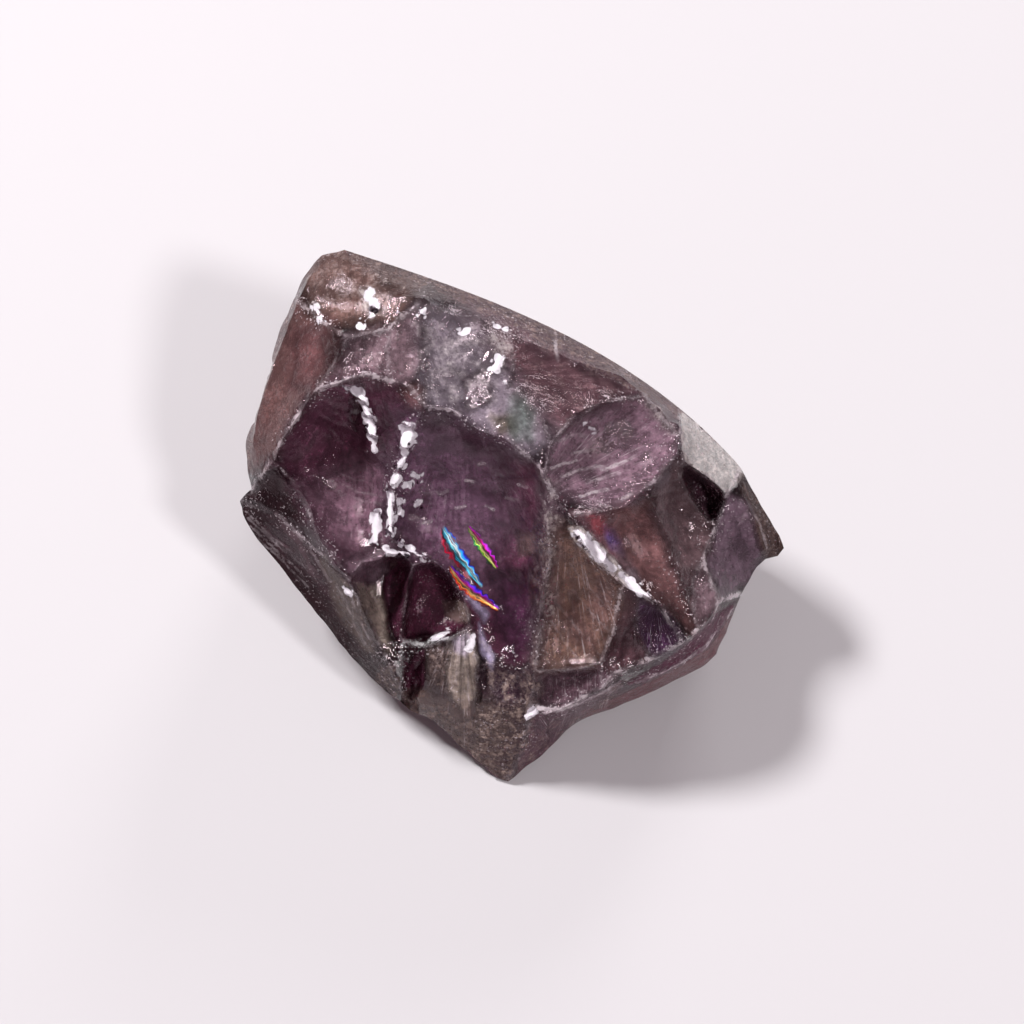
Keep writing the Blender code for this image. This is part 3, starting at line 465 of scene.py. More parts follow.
def carveFace():
    mesh = stone.data
    points = meshPoints(mesh)
    spots = toSketch(points)
    flat = spots[:, :2]
    front, _ = faceShare(mesh)
    count = len(points)

    rise = faceDetail["uneven"] * noiseField(points, faceDetail["unevenSize"], 3, 2)
    flow = np.stack([flat[:, 0], flat[:, 1] * 0.3, np.zeros(count)], axis=1)
    strandShare = np.full(count, faceDetail["strands"])
    for index, fracture in enumerate(fractures.values()):
        mask = softRegion(flat, fracture["outline"], 0.9)
        away = flat - np.array(fracture["start"])
        radius = np.hypot(*away.T)
        angle = np.arctan2(away[:, 1], away[:, 0])
        wobble = 0.5 * noiseField(points, 3 * mm, 20 + index, 1)
        turn = (radius / fracture["ringStep"] + wobble) * 2 * math.pi
        # the rings have a steep side and a long one, as on glass
        ring = np.sin(turn) + 0.4 * np.sin(2 * turn)
        rise += mask * fracture["rings"] * ring * (0.6 + 0.8 * noiseField(points, 2.5 * mm, 40 + index, 1))
        across = angle * max(6.0, float(np.median(radius[mask > 0.5])))
        strands = np.stack([across, radius * 0.18, np.full(count, index * 9.0)], axis=1)
        rise += mask * fracture["hackle"] * noiseField(strands, 0.9, 60 + index, 2)
        chosen = mask > 0.5
        flow[chosen] = strands[chosen]
        strandShare = strandShare * (1 - mask) + fracture["strands"] * mask

    ridge, powder = nearestLine(flat, ridgeLines.values())
    near = 1 - smoothStep(ridge / faceDetail["ridgeReach"])
    crumbs = noiseField(points, faceDetail["crumbSize"], 5, 3)
    rise -= faceDetail["ridgeBite"] * near * np.clip(crumbs + 0.15, 0, 1)
    rise += 0.05 * near * noiseField(points, 0.25 * mm, 6, 2)

    tear = faceDetail["tear"] * noisePair(points, faceDetail["tearSize"], 7)
    for depth, outline in pits.values():
        rise -= depth * softRegion(flat + tear, outline, faceDetail["pitBlur"])

    # the rim of the outline stays where it is
    edge = smoothStep(distanceFromSilhouette(flat, front) / 0.8)
    heights = spots[:, 2] + rise * front * edge

    # tilt the small steps square to the key light
    slopeU = -flashNormal[0] / flashNormal[2]
    slopeV = -flashNormal[1] / flashNormal[2]
    glint = np.full(count, 2.0)
    stepWander = faceDetail["stepWander"] * noiseField(points, 1.0 * mm, 23)
    for lift, outline in flashes.values():
        gap = distanceToLines(flat, [outline + outline[:1]])
        glint = np.minimum(glint, np.where(insideOutline(flat, outline), -gap, gap))
        mask = softRegion(flat + 0.6 * tear, outline, faceDetail["flashBlur"]) * (front > 0.5)
        chosen = mask > 0.5
        if not chosen.any():
            continue
        middle = flat[chosen].mean(axis=0)
        level = heights[chosen].mean() + lift
        plane = level + slopeU * (flat[:, 0] - middle[0]) + slopeV * (flat[:, 1] - middle[1])
        # a long place breaks into steps, which keep it near the face
        step = faceDetail["step"]
        away = plane - heights
        heights = heights + mask * (away - step * np.floor((away + stepWander) / step + 0.5))

    moved = np.array([fromSketch(u, v, h) for (u, v), h in zip(flat, heights)])
    moved[:, 2] = np.maximum(moved[:, 2], low.z)    # the stone rests on its base
    mesh.vertices.foreach_set("co", moved.ravel())
    mesh.update()
    cut, cutStrength = nearestLine(flat + 0.3 * tear, scratches.values())
    for name, values in (("flow", flow), ("ridge", np.stack([ridge, powder, glint], axis=1)),
                         ("scratch", np.stack([cut, cutStrength, strandShare], axis=1))):
        layer = mesh.attributes.new(name, "FLOAT_VECTOR", "POINT")
        layer.data.foreach_set("vector", values.ravel())


carveFace()
print("face carved")


finish = {
    "tear": 0.7,                    # squares, how ragged the edges of the places below are
    "tearSize": 1.6 * mm,
    "pitBlur": 0.5,                 # squares
    "skinFaces": (0.42, 0.91, 0),   # the way that the grown skin looks, away from the broken face
    "skinFrost": 0.7,
    "skinRubbed": 0.4,
    "wallFrost": 0.08,              # the broken sides behind
    "wallWarm": 0.7,
    "wallVeil": 0.5,
}

# frosted, ground and powdery places: how strong, how blurred, how warm the tone is, from 0 for
# white-lilac to 1 for olive brown, and the outline
frostedPlaces = {
    "curved skin": (0.85, 1.3, 0.5, [(-9, 22.6), (-3.8, 20.6), (1.7, 17.9), (7.1, 15.2), (10.6, 13),
        (14.2, 10.9), (16.2, 9.8), (18.5, 10.5), (12, 16.5), (0, 24), (-9, 28), (-19.4, 28),
        (-20.6, 25.2), (-18, 25.4), (-14.5, 25), (-11.5, 24)]),
    "corner": (0.35, 2, 0.35, [(-20.5, 24.5), (-16, 27.5), (-9, 25), (-9, 21.5), (-13, 20.8),
        (-19, 20.5)]),
    "ground face": (1, 0.25, 0.1, [(16.9, 10.9), (18.6, 10.2), (22.2, 7.6), (23.8, 5.2), (22.8, 3.6),
        (21.4, 2.3), (18.8, 4.1), (16.9, 5.4), (16.5, 7.7)]),
    "white bruise": (0.85, 1, 0.05, [(-15.2, 22.8), (-13.9, 22.4), (-12.8, 20.2), (-13.6, 19.4),
        (-14.6, 20.4)]),
    "haze": (0.32, 2.2, 0.1, [(-9, 19), (-2.6, 18.8), (-1.8, 14), (-1.6, 11), (-5, 10.6),
        (-8.2, 11.6)]),
    "bump": (0.55, 0.8, 0.15, [(-2.6, 18.9), (-0.4, 17.9), (0.1, 15.6), (-0.8, 14.4), (-2, 16.4)]),
    "grained face": (0.26, 2.4, 0.5, [(0.2, 17.2), (8, 14.6), (13, 11.8), (8.6, 11.4), (5.6, 9.8),
        (1.4, 12)]),
    "left strip": (0.5, 0.5, 0.85, [(-19.8, 26.4), (-21.6, 21.5), (-23.9, 15.2), (-26, 8), (-25.6, 4.6),
        (-27.6, 5), (-27, 10), (-22.6, 21.5)]),
    "left flake": (0.4, 0.5, 0.6, [(-8.2, -12.9), (-7.1, -12.2), (-5.7, -12.1), (-5.6, -15.4),
        (-6.4, -17.4), (-8.4, -17.2)]),
    "speckled tip": (0.8, 0.9, 0.95, [(-3.4, -17.4), (-1.5, -18.4), (2, -18.6), (1.2, -22.3),
        (-0.4, -27.4), (-4.2, -25.4), (-3.8, -20)]),
    "beige chip": (0.8, 0.5, 0.55, [(-13, -14.6), (-11.2, -14.4), (-10.8, -17.6), (-12.2, -18.2),
        (-13.6, -16.6)]),
    "pale patch": (0.8, 0.7, 0.6, [(-15.6, -6.6), (-14.4, -6.4), (-13.7, -9.6), (-13.4, -11.6),
        (-14.8, -10.4)]),
    "brown lip": (0.4, 0.5, 0.5, [(22.6, 4), (24.9, 1.6), (27.8, -3), (26.6, -4.4), (25.2, -3.4),
        (24.4, -0.8), (23, 2)]),
    "under the flakes": (0.75, 0.8, 0.9, [(-11, -17.8), (-8.8, -19.2), (-6.6, -19.6), (-5, -20.2),
        (-3.8, -20), (-4, -24.6), (-8, -21.8)]),
    "tip top": (0.65, 1, 0.85, [(-3, -15), (-1.6, -14.6), (1.4, -15.2), (2.8, -16.4), (2.6, -18.6),
        (1.8, -18.9), (-3.2, -17.8)]),
    "hackle band": (0.6, 1.1, 0.3, [(3.2, 4.6), (4.8, 2.4), (4.6, -4.4), (3.8, -9), (3.2, -15),
        (1.8, -15), (2.2, -9), (2.8, -4), (2.9, 0)]),
    "under the rim": (0.5, 0.8, 0.5, [(10.2, -15.2), (12.4, -15.4), (9.2, -19.6), (7.6, -19.8),
        (8.8, -17)]),
    "wall under the tip": (0.28, 0.8, 0.8, [(1.6, -20), (6, -19.6), (9.4, -18.2), (8.8, -20),
        (3, -24.2), (0.4, -26.4)]),
    # the bright streak is painted white, partly frost and partly a painted highlight of its glint
    "bright streak": (0.9, 0.3, 0, [(5.4, -1), (6.6, -0.8), (7.8, -1.8), (9.6, -3.8), (11.8, -6),
        (13.8, -8.2), (11, -6.6), (8.6, -4.9), (6.2, -2.4)]),
    "glittery corner": (0.5, 0.8, 0.15, [(13, 12.2), (15.2, 11), (16.2, 8), (14.4, 8.6), (13, 10.4)]),
}

# scratched and hackled places: how strong, how blurred, and the outline
scratchedPlaces = {
    "dish": (1, 1.6, [(3, 4.6), (6, 9.4), (10, 10.2), (13.4, 7.6), (10, 3.2), (5.6, 1), (3.6, 2.6)]),
    "haze": (0.35, 1.5, [(-9, 19), (-0.6, 18.6), (0.2, 13), (-3.4, 9.2), (-8.2, 11.2)]),
    "left wall": (0.12, 0.8, [(-27.4, 1.4), (-19.9, -3), (-14.8, -9.5), (-11, -18), (-22.8, -6.3),
        (-27, -0.8)]),
    "olive face": (0.8, 1.2, [(3.6, -3.6), (7, -3.2), (11, -8.2), (8.8, -14.2), (3, -14.6)]),
    "grained face": (0.18, 1.5, [(0, 17.4), (13.2, 12.2), (8.8, 11.2), (5.4, 9.8), (1, 12.2)]),
    "glittery face": (0.9, 0.6, [(12.2, -7.4), (14.5, -8.6), (17.2, -12.2), (13.8, -14),
        (11.8, -11.3)]),
    "ground face": (0.8, 0.4, [(16.2, 11.6), (24, 5.2), (22.5, 3.4), (21.4, 2.2), (16.6, 5.2)]),
    "bowl floor": (0.35, 2, [(-16, 6), (-9, 5), (-3, 4), (-6, -3.6), (-12, -2.6), (-16.5, -2)]),
    "upper right bowl": (0.4, 1.6, [(-7.6, 10), (-1, 7.4), (3.2, 4), (2.4, -0.6), (-2, 3.4),
        (-7, 6.8)]),
    "flakes": (0.8, 0.6, [(-8.4, -12.6), (-4.2, -10.8), (-3.2, -17.4), (-4, -24), (-8.8, -19)]),
    "under the rim": (0.7, 0.8, [(2.4, -15.4), (9.6, -15.2), (12, -15), (9.6, -19.2), (3.4, -22.6),
        (2, -19)]),
}


# thin veils of dust, fine cracks and bubbles that make the faces cloudy, and among them some painted
# shade, painted highlights and painted sheen, each marked: the tone, how thick, how blurred, and the
# outline
veilTones = {
    "rose": "86605f", "beige": "8e6d67", "umber": "845f68", "lilac": "957585", "violet": "90708a",
    "olive": "987468", "salmon": "94696a", "slate": "886c71", "haze": "a696a4", "lavender": "cdbfe4",
    "rosier": "8a5a5e",
    "mud": "846e68", "sand": "ac9a90", "wine": "744058", "maroon": "4c1832", "paintedPitShade": "3c242e",
    "paintedWallShade": "2a1a1e", "band": "6c484e", "slateLilac": "8a7079", "shade": "5c444e", "dirt": "5a4a48",
    "paintedSheenRed": "cc4a52", "paintedSheenBlue": "5c5cd4", "paintedSheenGreen": "90a89c", "paintedSheenGold": "988a62",
    "plum": "4a2a48", "lip": "4a3834", "slateDark": "705a68", "disc": "84746c", "fold": "655258",
    "burgundy": "5c2e42",
}
veils = {
    "left plane": ("rose", 0.44, 1, [(-21.3, 21.4), (-17.7, 18.5), (-17.2, 15.2), (-19, 12.8),
        (-22.8, 7.2), (-25.2, 4.9), (-27, 6), (-24, 18)]),
    "corner": ("beige", 0.6, 1.6, [(-20.5, 24.5), (-16, 27.5), (-9, 25), (-9, 21.5), (-13, 19),
        (-19, 19.5)]),
    "slate face": ("slateLilac", 0.66, 1, [(-16, 17.4), (-12, 18.6), (-9, 21), (-8.6, 15), (-10, 12.9),
        (-18.8, 12.8), (-17, 15.2)]),
    "grained face": ("umber", 0.52, 1.6, [(-9, 26), (0, 24), (10, 18), (16.4, 12), (15, 10), (13, 11.5),
        (8.8, 11.3), (5.9, 9.8), (3.8, 7.6), (1.1, 10), (-1, 14.6)]),
    "left bowl": ("wine", 0.4, 1.2, [(-23.5, 5.5), (-21.2, 9.7), (-19, 12.6), (-14.2, 14), (-8.6, 11),
        (-10.2, 7.7), (-11.4, 4.2), (-11.9, 0.2), (-11.7, -2.8), (-14.9, -4.5), (-16, -6.3),
        (-19.4, -1.3)]),
    "right bowl": ("wine", 0.44, 1.2, [(-8.4, 10.6), (-4.9, 9.5), (-0.7, 7.5), (2.3, 5), (3.8, 2),
        (3.2, -4.3), (2.6, -12.3), (2.2, -14.8), (-1.9, -13.6), (-4.2, -10.6), (-6, -5.6), (-9.8, -4.6),
        (-11.6, -2.6), (-11.7, 0.2), (-11.2, 4.2)]),
    "haze": ("haze", 0.5, 2.2, [(-8.7, 20.5), (-2.4, 19), (-1.6, 14), (-1.5, 10), (-4.5, 10.2),
        (-8.2, 11.5)]),
    "under the haze": ("haze", 0.72, 1.8, [(-5.4, 13.6), (-1, 14.5), (2.6, 10.2), (3.6, 7.2),
        (1.2, 6.4), (-2.2, 8.3), (-5, 10.4), (-2, 12)]),
    # painted shade: the hollow is painted near-black
    "dark hollow": ("paintedPitShade", 0.9, 0.4, [(17, 5.3), (18.8, 4), (21, 2), (20.6, 0), (19.4, -0.3),
        (17.6, 2.6)]),
    "salmon spot": ("salmon", 0.55, 0.8, [(-10.8, 12.3), (-8.6, 12.2), (-8.8, 10.4), (-10, 10.6)]),
    "rosy plane": ("rosier", 0.5, 1.6, [(-21, 18.5), (-18.6, 19), (-17.6, 15.2), (-19.6, 12.4),
        (-21.6, 13.4)]),
    "corner shade": ("dirt", 0.7, 1.4, [(-14.2, 25.6), (-12, 22.4), (-9.4, 22.2), (-5.6, 21.8),
        (-6, 24), (-12, 26.2)]),
    # painted rainbow sheen, as of cracks just under the face, in gold and green
    "hazy gold": ("paintedSheenGold", 0.45, 0.9, [(-1.4, 9.6), (-0.2, 9.7), (0.1, 8.4), (-0.9, 8.2)]),
    "hazy green": ("paintedSheenGreen", 0.5, 1, [(0.2, 11.3), (1.1, 11.4), (1.7, 9.6), (1.5, 7.8), (0.5, 8),
        (0.3, 9.4)]),
    # painted rainbow sheen beside the bright streak, in red, blue and lilac
    "side red": ("paintedSheenRed", 0.9, 0.5, [(7.4, 0.3), (8.9, 0.1), (9.6, -1.3), (8.4, -1.6), (7.6, -0.7)]),
    "side blue": ("paintedSheenBlue", 0.9, 0.5, [(9, -0.9), (9.9, -1.2), (10.8, -2.8), (10.9, -3.6),
        (9.7, -2.9), (9.1, -1.9)]),
    "side lilac": ("haze", 0.8, 0.5, [(9.8, -2.6), (10.8, -2.8), (12.2, -5.2), (12.6, -6.4),
        (11.4, -5.3), (10.4, -4)]),
    "side top": ("umber", 0.65, 0.5, [(5.6, 0.4), (9.6, 0.6), (12, -4.8), (10.8, -5), (8.6, -3),
        (6.6, -0.8)]),
    # painted shade on the shoulder, as on the left wall below
    "shoulder face": ("paintedWallShade", 0.7, 0.6, [(-26.6, 2.3), (-24.4, 4.2), (-23, 4.6), (-20.8, 1),
        (-19.8, -2.2), (-21.6, -0.8), (-23.4, 0.3), (-26.6, 1.7)]),
    "fork facet": ("slateLilac", 0.62, 0.5, [(17.7, -6), (18.9, -4.3), (19.6, -6.3), (20.3, -8.1),
        (18.4, -10.6), (17.7, -9.4)]),
    "glittery face": ("plum", 0.6, 0.6, [(12.4, -7.6), (14.3, -8.6), (16.8, -12.3), (13.8, -13.9),
        (11.9, -11.3)]),
    # the pits are painted dark wine, partly the stone's own colour and partly painted shade of the recess
    "left cell": ("burgundy", 0.75, 0.4, [(-12.5, -5.8), (-11.2, -4.7), (-10.3, -5.1), (-10.8, -8.8),
        (-11.2, -12.2), (-12.7, -8.2)]),
    "right cell": ("burgundy", 0.68, 0.4, [(-9.7, -5.2), (-8, -4.8), (-6.3, -6.4), (-4.7, -10.6),
        (-6.5, -11.5), (-10.4, -11.8), (-10.2, -8.8)]),
    "flake hole": ("burgundy", 0.75, 0.3, pits["flake hole"][-1]),
    "under the flakes": ("mud", 0.55, 0.5, [(-11, -17.6), (-8.6, -17), (-6.4, -18), (-3.6, -18.6),
        (-3.4, -24.8), (-8, -22.4)]),
    # painted shade under the rim of the olive face
    "under the olive face": ("shade", 0.8, 0.5, [(2.4, -15.3), (8.6, -14.6), (10.4, -15.6),
        (8.4, -17.2), (4.6, -18.6), (2.2, -18.8)]),
    "tip top": ("shade", 0.45, 0.7, [(-3.2, -14.6), (-1.6, -14.4), (2.6, -15.4), (3, -18.4),
        (1.8, -18.9), (-3.4, -17.8)]),
    "olive patch": ("plum", 0.5, 0.8, [(8.2, -6.4), (10, -7.6), (9.6, -10), (8.6, -12.2), (7.6, -9.6)]),
    "olive patch low": ("umber", 0.55, 0.8, [(5, -9.6), (6.4, -8.2), (8, -11.2), (8.2, -13.8),
        (6.4, -12.4)]),
    "bowl depth": ("plum", 0.45, 1.2, [(-1.6, -6), (2, -5), (2.2, -12.6), (0.4, -13.2), (-1.4, -10)]),
    "square patch": ("mud", 0.45, 0.5, [(0.6, -1.4), (2.6, -1.6), (2.8, -3.8), (0.9, -3.6)]),
    "left bowl foot": ("lilac", 0.66, 2.2, [(-20.5, 3), (-16, 4.5), (-13, 6), (-12, -2), (-15, -4),
        (-18.5, -2)]),
    "bowl floor": ("violet", 0.6, 3, [(-11, 9.5), (-6, 8.8), (-2, 5.5), (-0.5, -1), (-3, -6),
        (-8.5, -4), (-11.4, 0)]),
    "hackle band": ("lilac", 0.42, 1.1, frostedPlaces["hackle band"][-1]),
    "olive face": ("olive", 0.56, 1.4, [(4.3, -1), (7, -2.6), (11.2, -8.4), (9.8, -11.5), (8.5, -14.2),
        (2.8, -14.8), (3.4, -8.3)]),
    "window": ("salmon", 0.52, 1.4, [(9.4, 0.2), (12.8, 2.3), (15.3, -2.3), (16.8, -7.3), (17.6, -10.5),
        (14, -7), (11, -4)]),
    "grey face": ("slate", 0.4, 1.2, fractures["grey face"]["outline"]),
    "right facet": ("slateDark", 0.8, 0.5, [(21.6, 2.2), (23.6, 1), (25, -3.6), (24, -6), (20.8, -8),
        (19.2, -4.4), (20.6, -0.6)]),
    "dish": ("lilac", 0.62, 1, fractures["dish"]["outline"]),
    "pink face": ("umber", 0.34, 0.6, fractures["pink face"]["outline"]),
    # painted shade: the left wall and its middle are painted dark and thick, so that they stay dark under
    # the lamps and the pale floor
    "left wall": ("paintedWallShade", 1.8, 0.8, [(-28, 1.4), (-23.2, -0.2), (-20.4, -2.8), (-16.4, -6.7),
        (-14.8, -9.7), (-12.2, -14.9), (-11, -18.4), (-13, -19.4), (-24, -7)]),
    "wall middle": ("shade", 0.9, 1.6, [(-24, -0.6), (-21.4, -1.8), (-19.6, -4.8), (-18, -7.6),
        (-19.2, -6.8), (-21.4, -4), (-23.6, -2.2)]),
    "wall streak": ("sand", 0.85, 0.9, [(-18.6, -4.2), (-17.2, -6.2), (-15.2, -10.6), (-14, -13),
        (-15.4, -11.6), (-17.4, -7.6)]),
    # painted light: the flank faces away from the key light and is painted pale as if lit
    "pocket flank": ("sand", 0.75, 0.6, [(-15.4, -6.8), (-13.8, -6.6), (-12.9, -8.5), (-12.3, -13.2),
        (-14.4, -10)]),
    "pocket top": ("lilac", 0.45, 0.8, [(-16.4, -4.4), (-12.4, -3), (-12.8, -5.4), (-15.4, -7)]),
    # painted shade: the lower right wall is painted dark and thick, so that it doesn't mirror the pale
    # floor
    "maroon strip": ("maroon", 1.8, 0.3, [(11.4, -16.5), (14.8, -14.3), (17.4, -12.4), (20, -9.9),
        (22.4, -8.6), (21.1, -10.8), (19.6, -12.8), (16.3, -14.9), (12.9, -16.6)]),
    "under band": ("band", 1.6, 0.3, [(7, -19.4), (12.9, -16.8), (16.3, -15.1), (19.6, -13),
        (21.2, -11), (22.6, -8.8), (24.2, -9), (22.4, -14), (15, -20), (7, -22)]),
    # painted highlight: the soft folds of the left wall are painted lighter, as lit folds
    "wall folds": ("fold", 1.4, 0.5, [(-23.6, 0.3), (-22.4, -0.4), (-20.6, -2.6), (-19.6, -5.2),
        (-20.2, -5.4), (-21.2, -3.2), (-23, -1)]),
    "wall fold low": ("fold", 1.1, 0.6, [(-24.6, -1), (-22.8, -2.6), (-20.8, -4.6), (-19, -6.4),
        (-20.6, -5.2), (-23, -3.2)]),
    # painted shade over a smooth spot of the haze that faces the key lamp
    "painted haze shade": ("slateDark", 0.8, 0.8, [(-4.9, 13.4), (-3.2, 13.8), (-2.2, 12.6), (-2.6, 11),
        (-4.2, 10.6)]),
    "lump cap": ("lavender", 0.75, 0.3, [(-5.8, -12.1), (-4.4, -11.4), (-3.7, -12.4), (-4.5, -13.7),
        (-5.7, -13.2)]),
    "tip dark": ("plum", 0.7, 0.8, [(-1, -15.4), (0.6, -15.2), (0.2, -18.4), (-1.6, -19.6),
        (-1.4, -17.2)]),
    "left flake": ("dirt", 0.8, 0.4, [(-8.3, -13), (-6.2, -12.4), (-6.4, -15.4), (-6.1, -18),
        (-8.2, -17.4), (-8.5, -15)]),
    # painted shade on the wall below the tip, as on the lower right wall
    "wall foot": ("shade", 1.6, 0.6, [(2, -19.2), (7.2, -17.9), (10.4, -16.2), (11.4, -16.9),
        (7.6, -19.6), (3.6, -23.6), (0.4, -27), (0.6, -23.6)]),
    "pale lump": ("sand", 0.85, 0.4, [(-5.7, -12.1), (-4.3, -11.3), (-3.5, -12.8), (-3.4, -17),
        (-4.6, -19.4), (-6, -18.2), (-6.4, -15.4), (-6.2, -13.2)]),
    "half disc": ("disc", 0.95, 0.25, [(-6.9, -8.4), (-6.6, -9.8), (-5.4, -10.5), (-4.3, -10.4),
        (-4.2, -9.4), (-4.6, -8.6), (-5.6, -8.1)]),
    "lavender shard": ("lavender", 0.85, 0.25, [(-3.3, -10.4), (-2.5, -12.2), (-1.8, -13.8),
        (-1.9, -15.2), (-3, -13.4)]),
    "lavender ridge": ("lavender", 0.55, 0.3, [(-5, -7.2), (-4.3, -7), (-2.4, -9.6), (-2.7, -10.4)]),
    "tip": ("mud", 0.45, 0.9, frostedPlaces["speckled tip"][-1]),
    "tip right": ("shade", 0.7, 0.8, [(-0.4, -18.6), (1.6, -19.2), (1, -22.3), (-0.2, -26.8),
        (-1.4, -24), (0, -21)]),
    # painted shade: the slope under the skin is darkened where the back lamp lights it strongly
    "upper slope": ("shade", 0.85, 1.2, [(-2.8, 22), (2.7, 19.3), (8.1, 16.6), (11.8, 14.4), (15.2, 12),
        (13.6, 10.9), (10.2, 13), (6.6, 14.9), (1.4, 17.4), (-3.4, 20.2)]),
    "brown lip": ("lip", 0.9, 0.5, [(22.6, 3.8), (24.9, 1.8), (28.2, -3), (26.6, -5), (24.9, -3.4),
        (24, -0.8)]),
}

# these veils reach down into the pits, and the others stop at them
deepVeils = {"dark hollow", "left cell", "right cell", "flake hole", "under the flakes",
             "under the olive face", "tip top", "half disc", "lavender ridge"}


def paintFinish():
    mesh = stone.data
    count = len(mesh.vertices)
    points = meshPoints(mesh)
    flat = toSketch(points)[:, :2]
    front, normals = faceShare(mesh)

    # outlines are torn by noise so that no edge of a place is a drawn curve
    tear = finish["tear"] * noisePair(points, finish["tearSize"], 1)
    hollow = np.zeros(count)
    for _, outline in pits.values():
        hollow = np.maximum(hollow, softRegion(flat, outline, finish["pitBlur"]))
    openShare = front * (1 - hollow)
    frost = np.zeros(count)
    warm = np.zeros(count)
    for strength, blur, tint, outline in frostedPlaces.values():
        mask = strength * softRegion(flat + tear * min(1, blur), outline, blur) * openShare
        warm = np.where(mask > frost, tint, warm)
        frost = np.maximum(frost, mask)

    # the walls behind: the skin of the grown crystal is frosted, the broken sides less so
    behind = 1 - front
    outward = normals @ Vector(finish["skinFaces"]).normalized()
    skin = behind * smoothStep((outward - 0.55) / 0.2)
    frost = np.maximum(frost, finish["skinFrost"] * skin + finish["wallFrost"] * behind * (1 - skin))
    warm = np.where(behind > 0.5, finish["wallWarm"], warm)

    rubbed = finish["skinRubbed"] * skin
    for strength, blur, outline in scratchedPlaces.values():
        rubbed = np.maximum(rubbed, strength * softRegion(flat + tear, outline, blur) * front)

    # veils lie over one another like paint, the behind is a little cloudy all over
    tone = np.tile(np.array(colour(veilTones["umber"])[:3]), (count, 1))
    thick = finish["wallVeil"] * behind
    for name, (toneName, depth, blur, outline) in veils.items():
        reach = front if name in deepVeils else openShare
        mask = softRegion(flat + tear * min(1, blur), outline, blur) * reach
        share = (mask / np.maximum(mask + thick, 1e-6))[:, None]
        tone = tone * (1 - share) + np.array(colour(veilTones[toneName])[:3]) * share
        thick = np.maximum(thick * (1 - mask), mask * depth)

    for name, values in (("finish", (frost, front, warm, rubbed)), ("veil", (*tone.T, thick))):
        layer = mesh.color_attributes.new(name, "FLOAT_COLOR", "POINT")
        layer.data.foreach_set("color", np.stack(values, axis=1).ravel())


paintFinish()
print("finish painted")

crystal = {
    "ior": 1.75,                    # chrysoberyl
    "absorb": "a6267c",             # purple left of white light after a long way inside
    "density": 165.0,               # per metre of path
    "glint": "cdb8c0",              # rosy and dim, so they mirror less than polished ones: a painted reflection of warm surroundings
    "gloss": 0.04,                  # low all over, so that the walls mirror little of the pale floor
    "polish": 0.05,
    "frostTones": ["d4cac8", "6e5e5a", "917e76"],   # ground white, brown-grey skin, olive brown
    "frostPits": "32242a",
    "powder": "ded0d6",
    # painted glint: the near-white of the struck steps
    "paintedGlint": "eae2ea",
    "grain": 0.24 * mm,             # pits of the frosted skin
    "speck": 0.14 * mm,
    "blotch": 0.7 * mm,
    "cloud": 2.4 * mm,
    "cell": 0.5 * mm,               # the cells that the painted glint on a struck step is broken into
    "ridgeWander": 0.3 * mm,
    "ridgeBreaks": 1.1 * mm,
    "hair": 0.11,                   # squares, hackle hairs and the broader strands that carry them
    "strand": 0.45,
    "ripple": 0.6 * mm,
    "strandDepth": 0.05 * mm,
    "rippleDepth": 0.08 * mm,
    "grainDepth": 0.05 * mm,
}


